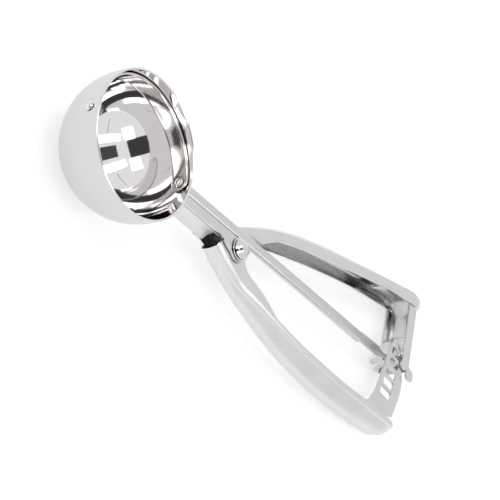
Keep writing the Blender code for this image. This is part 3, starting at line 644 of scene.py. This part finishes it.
def build_bowl():
    """The spun bowl, with a rounded lip, and a mirror finish inside only."""
    middle = BOWL_RADIUS - BOWL_WALL / 2
    lip_base = RIM_HEIGHT - BOWL_LIP
    inside = bowl_profile(BOWL_RADIUS - BOWL_WALL, lip_base)
    outside = bowl_profile(BOWL_RADIUS, lip_base)
    rim = [(middle + BOWL_WALL / 2 * math.sin(a), lip_base + BOWL_LIP * math.cos(a))
           for a in spread(-math.pi / 2, math.pi / 2, 11)]
    bowl = place("bowl", lathe_mesh("bowl", inside[::-1] + rim[1:-1] + outside, BOWL_STEPS))
    combine(bowl, rod_mesh("far_hole", (-30 * MM, 0, 0), (-24 * MM, 0, 0), FAR_RIVET_HOLE))
    combine(bowl, rod_mesh("near_hole", (24 * MM, 0, 0), (30 * MM, 0, 0), SHAFT_HOLE))
    settle(bowl, "bowl", BLASTED, "frame", TURNED_SHARP)
    bowl.data.materials.append(SPUN)
    for face in bowl.data.polygons:
        x, y, z = face.center
        reach = math.sqrt(x * x + y * y + min(z, 0.0) ** 2)
        if reach < middle or z > RIM_HEIGHT - BOWL_LIP / 2:
            face.material_index = 1


def build_far_rivet():
    """A headed rivet through the bowl's wall, which carries the blade's far end."""
    outer_base = BOWL_RADIUS + GAP
    inner_face = BLADE_OUTER - BLADE_THICKNESS - GAP
    head_radius, head_height, foot_radius = 1.8 * MM, 1.1 * MM, 1.9 * MM
    profile = dome_profile(head_radius, head_height, outer_base, FAR_RIVET_HOLE - GAP, inner_face)
    profile += [(foot_radius, inner_face), (foot_radius, inner_face - 0.2 * MM)]
    profile += [(1.6 * MM * math.cos(a), inner_face - 0.3 * MM - 0.4 * MM * math.sin(a))
                for a in spread(0.0, math.pi / 2, 7)][:-1] + [(0.0, inner_face - 0.7 * MM)]
    rivet = place("far_rivet", lathe_mesh("far_rivet", profile, RIVET_STEPS, axis="-X"))
    settle(rivet, "far_pivot_rivet", POLISHED, "frame", TURNED_SHARP)


# ---- blade, shaft and wheel

def build_blade():
    """The band on a sphere, whose width closes to a half circle round each pivot."""
    half, least_width = BLADE_WIDTH / 2, 0.05
    past = math.asin(half / BLADE_OUTER)
    ends = [past * math.sin(a) for a in spread(0.0, math.pi / 2, 14)]
    round_end = [-value for value in reversed(ends[1:])]
    angles = round_end + spread(0.0, math.pi, 129)
    angles += [math.pi - value for value in reversed(round_end)]
    rows = []
    for angle in angles:
        over = max(0.0, -angle, angle - math.pi) / past
        width = half * max(math.sqrt(max(0.0, 1.0 - over * over)), least_width)
        row = []
        for height in spread(-width, width, 9):
            ring = math.sqrt(BLADE_OUTER ** 2 - height ** 2)
            y = ring * math.sin(angle)
            row.append((-ring * math.cos(angle),
                        y * math.cos(BLADE_PARK) - height * math.sin(BLADE_PARK),
                        y * math.sin(BLADE_PARK) + height * math.cos(BLADE_PARK)))
        rows.append(row)
    blade = place("blade", sheet_mesh("blade", rows))
    thicken(blade, BLADE_THICKNESS)
    for side, radius in ((-1, FAR_RIVET_HOLE), (1, SHAFT_HOLE)):
        combine(blade, rod_mesh("eye", (side * 22 * MM, 0, 0), (side * 29 * MM, 0, 0), radius))
    round_edges(blade, BLADE_EDGE)
    settle(blade, "scraper_blade", POLISHED, "blade")


def build_blade_rivet():
    """The shaft's peened head, which holds the blade's near end on the shaft."""
    outer = BLADE_OUTER - BLADE_THICKNESS - GAP
    profile = [(0.0, outer), (2.1 * MM, outer), (2.2 * MM, outer - 0.1 * MM),
               (2.2 * MM, outer - 0.3 * MM)]
    profile += [(1.9 * MM * math.cos(a) ** 0.8, outer - 0.4 * MM - 0.5 * MM * math.sin(a))
                for a in spread(0.0, math.pi / 2, 8)][:-1] + [(0.0, outer - 0.93 * MM)]
    rivet = place("blade_rivet", lathe_mesh("blade_rivet", profile, RIVET_STEPS, axis="X"))
    settle(rivet, "blade_rivet", POLISHED, "blade", TURNED_SHARP)


def build_shaft():
    """A folded channel whose flat back runs on to a tongue, with its round journals."""
    side, fold_z = SHAFT_HALF_WIDTH - SHAFT_FOLD, SHAFT_TOP - SHAFT_FOLD
    path = [(-SHAFT_HALF_WIDTH, SHAFT_BOTTOM)]
    path += arc((-side, fold_z), SHAFT_FOLD, 180, 90, 7)
    path += arc((side, fold_z), SHAFT_FOLD, 90, 0, 7)
    path.append((SHAFT_HALF_WIDTH, SHAFT_BOTTOM))
    rows = [[(x, y, z) for y, z in path] for x in (SHAFT_FOLD_END, SHAFT_START)]
    shaft = place("shaft", sheet_mesh("shaft", rows))
    thicken(shaft, SHAFT_SHEET)

    back = [(SHAFT_FOLD_END - 2 * MM, -side), (SHAFT_FOLD_END - 0.5 * MM, -side),
            (SHAFT_FOLD_END + 0.5 * MM, -SHAFT_HALF_WIDTH),
            (SHAFT_BACK_END, -SHAFT_HALF_WIDTH),
            (SHAFT_BACK_END + 3.5 * MM, -TONGUE_HALF_WIDTH), (TONGUE_END, -TONGUE_HALF_WIDTH)]
    back += [(x, -y) for x, y in reversed(back)]
    sunk = 0.02 * MM  # keeps the back's faces off the channel's
    combine(shaft, plate_mesh("back", [back], SHAFT_TOP - SHAFT_SHEET + sunk,
                              SHAFT_TOP - sunk), "UNION")
    round_edges(shaft, SHANK_EDGE)
    inner_end = BLADE_OUTER - BLADE_THICKNESS
    for start, end, radius in ((inner_end, SHAFT_START + 5 * MM, SHAFT_HOLE - GAP),
                               (JOURNAL_START, JOURNAL_END, JOURNAL_RADIUS)):
        combine(shaft, rod_mesh("journal", (start, 0, 0), (end, 0, 0), radius), "UNION")
    settle(shaft, "drive_shaft", BRUSHED, "blade")


def rack_slot_offset(index):
    """Distance of a slot from the pivot's level, measured along the straight rack."""
    reach = (PINION_X - PIVOT.x) * math.sin(RACK_LEAN)
    first = (FIRST_SLOT_Y - PIVOT.y) * math.cos(RACK_LEAN) - reach
    return first - index * PITCH


def wheel_outline():
    """Five round-ended teeth and a plain sector, as (y, z) points seen from the far end."""
    first = (FIRST_SLOT_Y - TOOTH_PLAY) / PITCH_RADIUS
    outline = []
    for index in range(TOOTH_COUNT):
        angle = first - index * TOOTH_ANGLE
        along = Vector((math.sin(angle), math.cos(angle)))
        across = Vector((along.y, -along.x))
        half = TOOTH_WIDTH / 2
        tip = along * (TOOTH_TIP - half)
        outline.append(tuple(along * HUB_RADIUS + across * half))
        for turn in spread(0.0, math.pi, 15):
            point = tip + across * half * math.cos(turn) + along * half * math.sin(turn)
            outline.append(tuple(point))
        outline.append(tuple(along * HUB_RADIUS - across * half))
    for angle in spread(SECTOR_START, SECTOR_END, 30):
        outline.append((TOOTH_TIP * math.sin(angle), TOOTH_TIP * math.cos(angle)))
    return outline


def build_wheel():
    """The wheel is stamped, so its teeth have rounded edges."""
    half, low, high = WHEEL_EYE_HALF_WIDTH, SHAFT_TOP - SHAFT_SHEET - GAP, SHAFT_TOP + GAP
    eye = [(-half, low), (half, low), (half, high), (-half, high)]
    mesh = plate_mesh("wheel", [wheel_outline(), eye], 0.0, PINION_THICKNESS)
    for vertex in mesh.vertices:
        y, z, x = vertex.co
        vertex.co = (PINION_X - PINION_THICKNESS / 2 + x, y, z)
    wheel = place("wheel", mesh)
    round_edges(wheel, PRESSED_EDGE, PRESSED_SEGMENTS)
    settle(wheel, "pinion", BRUSHED_ACROSS, "blade")


# ---- shank and pivot

def pivot_hole():
    """The hole for the big rivet, through both ears and the squeeze handle."""
    return rod_mesh("pivot_hole", (PIVOT.x, PIVOT.y, PIVOT_HOLE_LOW),
                    (PIVOT.x, PIVOT.y, PIVOT_HOLE_HIGH), RIVET_HOLE, RIVET_STEPS)


def bowl_clearance():
    """The bowl's outside with the welding gap, which trims what meets it."""
    top = RIM_HEIGHT + 3 * MM
    profile = [(0.0, top)] + bowl_profile(BOWL_RADIUS + GAP, top)
    return lathe_mesh("bowl_clearance", profile, BOWL_STEPS)


def shank_row(x):
    """The sleeve's outside at one x, from its left wall round to its right wall."""
    radius = 1.2 * MM
    lower = SHANK_BOTTOM + radius
    left = arc((SHANK_LEFT + radius, lower), radius, 180, 270, 9)
    right = arc((SHANK_RIGHT - radius, lower), radius, 270, 360, 9)
    path = [(SHANK_LEFT, SHANK_TOP)] + left + right + [(SHANK_RIGHT, SHANK_RIGHT_TOP)]
    return [(x, y, z) for y, z in path]


def ear_outline(start):
    """A strip that widens into a round ear over the pivot and is cut off square after it."""
    ear = arc((PIVOT.x, PIVOT.y), EAR_RADIUS, 205, 318, 40)
    neck = [(53.0 * MM, SHANK_LEFT), (56.2 * MM, SHANK_LEFT - 0.9 * MM),
            (58.6 * MM, SHANK_LEFT - 2.3 * MM)]
    return [(start, SHANK_LEFT)] + neck + ear[6:] + [EAR_SQUARE_END]


def build_shank():
    """The folded sleeve with its lower ear, cut on a slant where the handle swings."""
    rows = [shank_row(x) for x in (SHANK_START, 40 * MM, 52 * MM, SHANK_END)]
    shank = place("shank", sheet_mesh("shank", rows))
    thicken(shank, SHANK_SHEET)
    ear_edge = 0.6 * MM
    ear = ear_outline(EAR_START)[:-1] + [(71.0 * MM, -5.6 * MM), (67.0 * MM, ear_edge),
                                         (EAR_START, ear_edge)]
    sunk = 0.05 * MM  # keeps the ear's faces off the sleeve's floor
    combine(shank, plate_mesh("ear", [ear], SHANK_BOTTOM + sunk,
                              SHANK_BOTTOM + SHANK_SHEET - sunk), "UNION")
    slanted = [(51.2 * MM, 1.0 * MM), (62.5 * MM, 1.0 * MM), (62.5 * MM, -9.0 * MM),
               (54.6 * MM, -9.0 * MM), (52.2 * MM, -4.5 * MM)]
    bm = bmesh.new()
    bm.from_mesh(plate_mesh("slant", [slanted], 0.0, 4.6 * MM))
    for vertex in bm.verts:
        x, z, y = vertex.co
        vertex.co = (x, SHANK_LEFT - 2.0 * MM + y, z)
    combine(shank, mesh_from("slant", bm))
    combine(shank, bowl_clearance())
    combine(shank, pivot_hole())
    round_edges(shank, SHANK_EDGE)
    settle(shank, "shank", SATIN, "frame")

    def socket_core(place_at):
        if place_at.x > SLEEVE_SOCKET_START:
            return Vector((place_at.x, (SHANK_LEFT + SHANK_RIGHT) / 2, SHANK_BOTTOM / 2))
        return None

    # Painted shade: the sleeve's inside past the ears is painted near black, standing in for the
    # unlit cavity.
    finish_or_shade_inside(shank, PAINTED_SHADE, socket_core)


def build_top_plate():
    """The flat strip over the sleeve, with the upper ear."""
    outline = ear_outline(SHANK_START) + [(SHANK_START, PLATE_INNER)]
    plate = place("plate", plate_mesh("plate", [outline], PLATE_TOP - SHANK_SHEET, PLATE_TOP))
    combine(plate, bowl_clearance())
    combine(plate, pivot_hole())
    round_edges(plate, PRESSED_EDGE, PRESSED_SEGMENTS)
    settle(plate, "top_plate", BRUSHED, "frame")


def build_pivot():
    """The big domed rivet, its washer and the spacer tube."""
    head_base = PLATE_TOP + GAP + WASHER_THICKNESS + GAP
    foot = SHANK_BOTTOM - GAP
    head_height, foot_radius = 2.2 * MM, 3.4 * MM
    profile = dome_profile(RIVET_HEAD, head_height, head_base, RIVET_RADIUS, foot)
    profile += [(foot_radius, foot)]
    profile += [(foot_radius * math.cos(a) ** 0.6, foot - 0.2 * MM - 1.1 * MM * math.sin(a))
                for a in spread(0.0, math.pi / 2, 13)][:-1] + [(0.0, foot - 1.3 * MM)]
    rivet = place("rivet", lathe_mesh("rivet", profile, move=PIVOT))
    settle(rivet, "pivot_rivet", POLISHED, "frame", TURNED_SHARP)

    rim = 0.12 * MM
    disc = [(WASHER_RADIUS - rim, WASHER_THICKNESS), (WASHER_RADIUS, WASHER_THICKNESS - rim),
            (WASHER_RADIUS, rim), (WASHER_RADIUS - rim, 0.0), (RIVET_HOLE, 0.0),
            (RIVET_HOLE, WASHER_THICKNESS)]
    lift = Vector((0.0, 0.0, PLATE_TOP + GAP))
    washer = place("washer", lathe_mesh("washer", disc, closed=True, move=PIVOT + lift))
    settle(washer, "pivot_washer", POLISHED, "frame", RING_SHARP)

    top = interpolate(SQUEEZE_TOP, PIVOT.x) - SHEET - GAP
    bottom = interpolate(HANDLE_BOTTOM, PIVOT.x) + SHEET + GAP
    tube = [(SPACER_RADIUS, top), (SPACER_RADIUS, bottom),
            (RIVET_HOLE, bottom), (RIVET_HOLE, top)]
    spacer = place("spacer", lathe_mesh("spacer", tube, closed=True, move=PIVOT))
    settle(spacer, "pivot_spacer", BRUSHED, "frame", RING_SHARP)


def build_spring():
    """A torsion spring round the spacer, one leg in each handle's channel."""
    coil_radius, wire_radius = 3.85 * MM, 0.45 * MM
    start, turn = math.radians(-125.0), math.radians(1190.0)
    low, high = -6.0 * MM, -2.2 * MM
    lever_foot, frame_foot = Vector((75.5, -15.8, -6.0)) * MM, Vector((73.0, 3.2, -3.2)) * MM
    steps = 120
    points = [lever_foot]
    for step in range(steps + 1):
        angle = start - turn * step / steps
        points.append(PIVOT + Vector((coil_radius * math.cos(angle), coil_radius * math.sin(angle),
                                      low + (high - low) * step / steps)))
    points.append(frame_foot)
    curve = bpy.data.curves.new("spring", "CURVE")
    curve.dimensions = "3D"
    curve.bevel_depth = wire_radius
    curve.bevel_resolution = 4
    curve.use_fill_caps = True
    spline = curve.splines.new("POLY")
    spline.points.add(len(points) - 1)
    for point, position in zip(spline.points, points):
        point.co = (*position, 1.0)
    spring = place("spring", mesh_from("spring", filled_curve("spring_path", curve)))
    settle(spring, "torsion_spring", POLISHED, "frame")


# ---- handles

def handle_row(side, x, web, top, bottom, top_edge, bottom_edge, bulge, corner):
    """A channel's outside at one x, from the top flange's edge round to the bottom one's."""
    below_middle = 0.8 * MM  # the widest line lies this far under the middle
    turn_width, roundness = 2.2 * MM, 0.7
    middle = (top + bottom) / 2 - below_middle
    row = [(y, top) for y in spread(top_edge, web - side * corner, 5)]
    for angle in spread(0.0, math.pi / 2, 9)[1:]:
        row.append((web - side * corner * (1 - math.sin(angle)),
                    top - corner * (1 - math.cos(angle))))
    for t in spread(0.0, 1.0, 11)[1:]:
        row.append((web + side * bulge * math.sin(t * math.pi / 2),
                    top - corner + (middle - top + corner) * t))
    inner = web - side * min(turn_width, abs(web - bottom_edge) * 0.8)
    for angle in spread(0.0, math.pi / 2, 17)[1:]:
        row.append((inner + (web + side * bulge - inner) * math.cos(angle) ** roundness,
                    middle + (bottom - middle) * math.sin(angle) ** roundness))
    row.append(((inner + bottom_edge) / 2, bottom))
    row.append((bottom_edge, bottom))
    return [(x, y, z) for y, z in row]


def handle_rows(side, tables, cap_x, end_x, cap_y, squareness, corner_at):
    """Rows along the handle, then a cap that closes like a quarter of an egg."""
    web, top, top_edge, bottom_edge, bulge = tables
    start = web[0][0] * MM

    def values(x):
        """Every table's value at one x."""
        return [interpolate(table, x) for table in
                (web, top, HANDLE_BOTTOM, top_edge, bottom_edge, bulge)]

    rows = [handle_row(side, x, *values(x), corner_at(x))
            for x in spread(start, cap_x, HANDLE_ROWS)]
    web_y, top_z, bottom_z, top_y, bottom_y, swell = values(cap_x)
    middle = (top_z + bottom_z) / 2
    for angle in spread(0.0, math.radians(87.0), CAP_ROWS)[1:]:
        x = cap_x + (end_x - cap_x) * math.sin(angle)
        share = math.cos(angle) ** squareness
        blend = min(1.0, 2.2 * (1.0 - math.cos(angle)))
        rows.append(handle_row(side, x, cap_y + (web_y - cap_y) * share,
                               middle + (top_z - middle) * share,
                               middle + (bottom_z - middle) * share,
                               top_y + (cap_y - top_y) * blend,
                               bottom_y + (cap_y - bottom_y) * blend,
                               swell * share, HANDLE_CORNER * share))
    return rows[::-1] if side > 0 else rows


def squeeze_corner(x):
    """The fold starts wide at the pivot and tightens along the handle."""
    share = min(1.0, max(0.0, (x - 66 * MM) / (30 * MM)))
    return ROOT_CORNER + (HANDLE_CORNER - ROOT_CORNER) * share


def fixed_corner(x):
    """The fixed handle's fold is tight all along."""
    return min(HANDLE_CORNER, 0.9 * MM + max(0.0, x - 61 * MM) * 0.05)


def channel_core(place_at, web, top, side):
    """The middle of a handle's channel at one x."""
    x = place_at.x
    return Vector((x, interpolate(web, x) + side * CHANNEL_MIDDLE,
                   (interpolate(top, x) + interpolate(HANDLE_BOTTOM, x)) / 2))


def build_squeeze_handle():
    """The handle that swings. Its root lies between the shank's ears."""
    tables = (SQUEEZE_WEB, SQUEEZE_TOP, SQUEEZE_TOP_EDGE, SQUEEZE_BOTTOM_EDGE, SQUEEZE_BULGE)
    rows = handle_rows(-1, tables, SQUEEZE_CAP_X, SQUEEZE_END_X, SQUEEZE_CAP_Y,
                       SQUEEZE_SQUARENESS, squeeze_corner)
    handle = place("squeeze", sheet_mesh("squeeze", rows))
    thicken(handle, SHEET, even=False)
    combine(handle, pivot_hole())
    round_edges(handle, PRESSED_EDGE, PRESSED_SEGMENTS)
    settle(handle, "squeeze_handle", BRUSHED_HANDLE, "lever")

    def socket_core(place_at):
        if place_at.x < HANDLE_SOCKET_END:
            return channel_core(place_at, SQUEEZE_WEB, SQUEEZE_TOP, 1)
        return None

    # Painted shade: the inside of the squeeze handle's root is painted near black, standing in for
    # the unlit cavity.
    finish_or_shade_inside(handle, PAINTED_SHADE, socket_core)


def build_fixed_handle():
    """The handle that carries on from the sleeve's right wall."""
    tables = (FIXED_WEB, FIXED_TOP, FIXED_TOP_EDGE, FIXED_BOTTOM_EDGE, FIXED_BULGE)
    rows = handle_rows(1, tables, FIXED_CAP_X, FIXED_END_X, FIXED_CAP_Y, FIXED_SQUARENESS,
                       fixed_corner)
    handle = place("fixed", sheet_mesh("fixed", rows))
    thicken(handle, SHEET, even=False)
    round_edges(handle, PRESSED_EDGE, PRESSED_SEGMENTS)
    settle(handle, "fixed_handle", BRUSHED_HANDLE, "frame")
    finish_or_shade_inside(handle, MILL, lambda place_at: channel_core(place_at, FIXED_WEB, FIXED_TOP, -1))


# ---- rack and bracket

def rack_point(along, across):
    """A place on the rack from its distances along the slot line and across it."""
    cosine, sine = math.cos(RACK_LEAN), math.sin(RACK_LEAN)
    across += RACK_RADIUS
    return (PIVOT.x + across * cosine - along * sine, PIVOT.y + across * sine + along * cosine)


def slot_outline(index):
    """One slot across the rack, with rounded corners."""
    along = rack_slot_offset(index)
    near_end = -SLOT_LENGTH / 2 - LAST_SLOT_EXTRA * (index / (TOOTH_COUNT - 1)) ** 3
    half_width, half_length, corner = SLOT_WIDTH / 2, SLOT_LENGTH / 2, 0.9 * MM
    corners = [(*rack_point(along + dy, dx), corner)
               for dx, dy in ((near_end, -half_width), (half_length, -half_width),
                              (half_length, half_width), (near_end, half_width))]
    return rounded_outline(corners, 10)


def rack_outline():
    """The plate round the slots, and the arm that runs back along the squeeze handle."""
    inner = [(x * MM, interpolate(ARM_EDGE, x * MM)) for x in spread(ARM_START, ARM_END, 60)]
    fillet = arc((150.9 * MM, -21.7 * MM), 4.6 * MM, 268, 337, 18)
    rail = [(157.2 * MM, -19.4 * MM), (158.9 * MM, -12.6 * MM), (159.9 * MM, -6.0 * MM),
            (161.0 * MM, -0.7 * MM)]
    lobe = arc((165.1 * MM, 2.4 * MM), 3.5 * MM, 172, 8, 40)
    right = [(168.9 * MM, 0.6 * MM), (171.0 * MM, -3.0 * MM), (172.9 * MM, -8.5 * MM),
             (173.1 * MM, -12.5 * MM), (172.6 * MM, -16.5 * MM), (170.4 * MM, -25.0 * MM),
             (168.2 * MM, -25.6 * MM)]
    outer = [(x * MM, interpolate(SQUEEZE_WEB, x * MM) + SHEET + GAP + 0.1 * MM)
             for x in spread(166.8, ARM_START, 80)]
    return inner + fillet + rail + lobe + right + outer


def build_rack():
    """The plate bends with the handle's top, so it is cut into short lengths first."""
    outlines = [rack_outline()] + [slot_outline(index) for index in range(TOOTH_COUNT)]
    rack = place("rack", plate_mesh("rack", outlines, RACK_TOP - SHEET, RACK_TOP))
    round_edges(rack, RACK_EDGE)
    bm = bmesh.new()
    bm.from_mesh(rack.data)
    for x in spread(ARM_START * MM + 1 * MM, ARM_END * MM, 50):
        bmesh.ops.bisect_plane(bm, geom=bm.verts[:] + bm.edges[:] + bm.faces[:],
                               plane_co=(x, 0.0, 0.0), plane_no=(1.0, 0.0, 0.0))
    flat_height = interpolate(SQUEEZE_TOP, 150 * MM)
    for vertex in bm.verts:
        vertex.co.z += interpolate(SQUEEZE_TOP, vertex.co.x) - flat_height
    bm.to_mesh(rack.data)
    bm.free()
    settle(rack, "rack_plate", BRUSHED, "lever")


def bracket_point(along, inward, z):
    """A place on the bracket: along it from its open end, and inward from its outer face."""
    x = BRACKET_OUTER_X - along * math.sin(BRACKET_LEAN) - inward * math.cos(BRACKET_LEAN)
    y = BRACKET_END_Y + along * math.cos(BRACKET_LEAN) - inward * math.sin(BRACKET_LEAN)
    return (x, y, z)


def bracket_row(along):
    """The bracket's outside at one place along it, from its top flange to its bottom one."""
    radius = 1.1 * MM
    top = arc((radius, BRACKET_TOP - radius), radius, 90, 180, 11)
    bottom = arc((radius, BRACKET_BOTTOM + radius), radius, 180, 270, 11)
    path = [(BRACKET_FLANGE, BRACKET_TOP)] + top + bottom
    path.append((BRACKET_FLANGE - 2.0 * MM, BRACKET_BOTTOM))
    return [bracket_point(along, inward, z) for inward, z in path]


def build_bracket():
    """A channel across the handles' ends, with a lug and a tab spot-welded to the handle."""
    rows = [bracket_row(along) for along in spread(0.0, BRACKET_LENGTH, 4)]
    bracket = place("bracket", sheet_mesh("bracket", rows))
    thicken(bracket, SHEET)
    x, y, reach = LUG_CENTRE.x, LUG_CENTRE.y, LUG_RADIUS
    corner = 2.1 * MM
    lug = rounded_outline([(x - 3.0 * MM, -2.4 * MM, 0.0),
                           (x - reach, y - reach, corner),
                           (x + reach, y - reach, corner),
                           (x + reach, y + reach, corner),
                           (x - 1.2 * MM, y + reach + 1 * MM, 0.5 * MM)], 12)
    sunk = 0.05 * MM  # keeps the lug's faces off the flange's
    combine(bracket, plate_mesh("lug", [lug], BRACKET_TOP - SHEET + sunk,
                                BRACKET_TOP - sunk), "UNION")
    path = [bracket_point(BRACKET_LENGTH - 12 * MM, 0.3 * MM, 0.0)[:2],
            bracket_point(BRACKET_LENGTH - 3 * MM, 0.3 * MM, 0.0)[:2],
            (171.2 * MM, 26.6 * MM), (168.6 * MM, 28.2 * MM)]
    path += [(x * MM, interpolate(FIXED_WEB, x * MM) - SHEET - GAP - 0.1 * MM)
             for x in (164.5, 158, 152)]
    half = 4.6 * MM
    tab = place("tab", sheet_mesh("tab", [[(x, y, -half), (x, y, half)] for x, y in path]))
    thicken(tab, -SHEET)
    apply_boolean(bracket, tab, "UNION")
    combine(bracket, rod_mesh("journal_hole", (170 * MM, 0, 0), (178 * MM, 0, 0), JOURNAL_HOLE))
    round_edges(bracket, BRACKET_EDGE)
    settle(bracket, "end_bracket", BRUSHED_ACROSS, "frame")
    middle = (BRACKET_TOP + BRACKET_BOTTOM) / 2
    low, high = (Vector(bracket_point(along, CHANNEL_MIDDLE, middle))
                 for along in (0.0, BRACKET_LENGTH))
    length = high - low

    def bracket_core(place_at):
        """The middle of the bracket's channel, beside a place on it."""
        share = (place_at - low).dot(length) / length.length_squared
        return low + length * share if 0.0 < share < 1.0 else None

    finish_or_shade_inside(bracket, MILL, bracket_core)


# ---- camera, lights and floor

def build_camera():
    """A long lens over the bowl's side of the table."""
    camera = bpy.data.cameras.new("camera")
    camera.lens = CAMERA_LENS_MM
    camera.sensor_width = 36.0
    camera.clip_end = 10.0
    obj = add_object("camera", camera)
    turn = Matrix(CAMERA_AXES).transposed().to_4x4()
    obj.matrix_world = MECHANISM @ Matrix.Translation(CAMERA_PLACE) @ turn
    bpy.context.scene.camera = obj


def facing(place_at, target, along):
    """The turn that faces a lamp or card at a target, with its X side along a direction."""
    back = (Vector(place_at) - Vector(target)).normalized()
    side = (Vector(along) - back * back.dot(Vector(along))).normalized()
    turn = Matrix((side, back.cross(side), back)).transposed()
    return Matrix.Translation(place_at) @ turn.to_4x4()


def studio_point(toward, across, height):
    """A place in the studio, from how far it is toward the camera and across from it."""
    return TOWARD_CAMERA * toward + ACROSS_CAMERA * across + Vector((0.0, 0.0, height))


def softbox(name, place_at, target, along, size, radiance):
    """A soft lamp, as bright as its radiance wherever it is mirrored."""
    light = bpy.data.lights.new(name, "AREA")
    light.shape = "RECTANGLE"
    light.size, light.size_y = size
    light.energy = radiance * math.pi * size[0] * size[1]
    add_object(name, light).matrix_world = facing(place_at, target, along)


def flat_square(name, segments, half_side):
    """A flat square for the studio."""
    bm = bmesh.new()
    bmesh.ops.create_grid(bm, x_segments=segments, y_segments=segments, size=half_side)
    return add_object(name, written(name, bm))


def card(name, place_at, target, along, size, shade):
    """A matt card in the studio, mirrored in the bright parts."""
    obj = flat_square(name, 1, 0.5)
    obj.matrix_world = facing(place_at, target, along) @ Matrix.Diagonal((*size, 1.0, 1.0))
    obj.data.materials.append(Nodes(name + "_felt", (shade,) * 3, 0.0, MATT).material)


def build_lights():
    """Two long ceiling softboxes with a dark opening between them, and two lower ones
    beside the dark side of the room, where the camera stands."""
    for name, across, length in STRIPS:
        overhead = studio_point(STRIP_TOWARD, across, CEILING)
        softbox(name, overhead, overhead + DOWN, TOWARD_CAMERA, (length, STRIP_WIDTH),
                STRIP_RADIANCE)
    opening = studio_point(OPENING_TOWARD, OPENING_ACROSS, CEILING)
    card("opening", opening, opening + DOWN, TOWARD_CAMERA, OPENING_SIZE, 0.05)
    for side in (-1, 1):
        joint = studio_point(JOINT_TOWARD, side * JOINT_ACROSS, CEILING)
        card("panel_joint", joint, joint + DOWN, ACROSS_CAMERA, JOINT_SIZE, 0.1)
    for name, across in FRONTS:
        softbox(name, studio_point(FRONT_TOWARD, across, FRONT_HEIGHT), STUDIO_AIM,
                ACROSS_CAMERA, FRONT_SIZE, FRONT_RADIANCE)
    card("camera_side", studio_point(CAMERA_SIDE_TOWARD, 0.0, CAMERA_SIDE_HEIGHT), STUDIO_AIM,
         ACROSS_CAMERA, CAMERA_SIDE_SIZE, 0.03)


def build_world():
    """An even pale room."""
    world = bpy.data.worlds.new("studio")
    world.use_nodes = True
    background = world.node_tree.nodes["Background"]
    background.inputs["Color"].default_value = (1.0, 1.0, 1.0, 1.0)
    background.inputs["Strength"].default_value = WORLD_STRENGTH
    bpy.context.scene.world = world


def build_floor():
    """A light table, whose glow keeps the shadows faint."""
    floor = flat_square("floor", 2, TABLE_REACH)
    nodes = Nodes("light_table", (0.60, 0.60, 0.60), 0.0, MATT)
    nodes.shader.inputs["Emission Color"].default_value = (1.0, 1.0, 1.0, 1.0)
    nodes.shader.inputs["Emission Strength"].default_value = TABLE_GLOW
    floor.data.materials.append(nodes.material)


# ---- build

BLASTED = blasted_steel("blasted_steel", (0.62, 0.62, 0.62), 0.36)
SPUN = spun_mirror("spun_mirror_steel", (0.79, 0.775, 0.775), 0.03)
POLISHED = polished_steel("polished_steel_fine", (0.70, 0.68, 0.67), 0.08)
BRUSHED = brushed_steel("brushed_along", (0.70, 0.70, 0.70), 0.34, "X")
BRUSHED_HANDLE = brushed_steel("brushed_handle", (0.72, 0.72, 0.72), 0.36, "X")
BRUSHED_ACROSS = brushed_steel("brushed_across", (0.70, 0.70, 0.70), 0.34, "Y")
SATIN = brushed_steel("brushed_soft", (0.76, 0.76, 0.76), 0.52, "X")
MILL = brushed_steel("mill_finish_inside", (0.66, 0.65, 0.65), 0.24, "X")
# Near-black painted shade for deep, unlit cavities, not a real finish of the steel.
PAINTED_SHADE = brushed_steel("painted_socket_shade", (0.07, 0.07, 0.07), 0.50, "X")

for build in (build_bowl, build_far_rivet, build_blade, build_blade_rivet, build_shaft,
              build_wheel, build_shank, build_top_plate, build_pivot, build_spring,
              build_squeeze_handle, build_fixed_handle, build_rack, build_bracket,
              build_camera, build_world, build_floor, build_lights):
    build()
bpy.context.scene.view_settings.view_transform = "Standard"
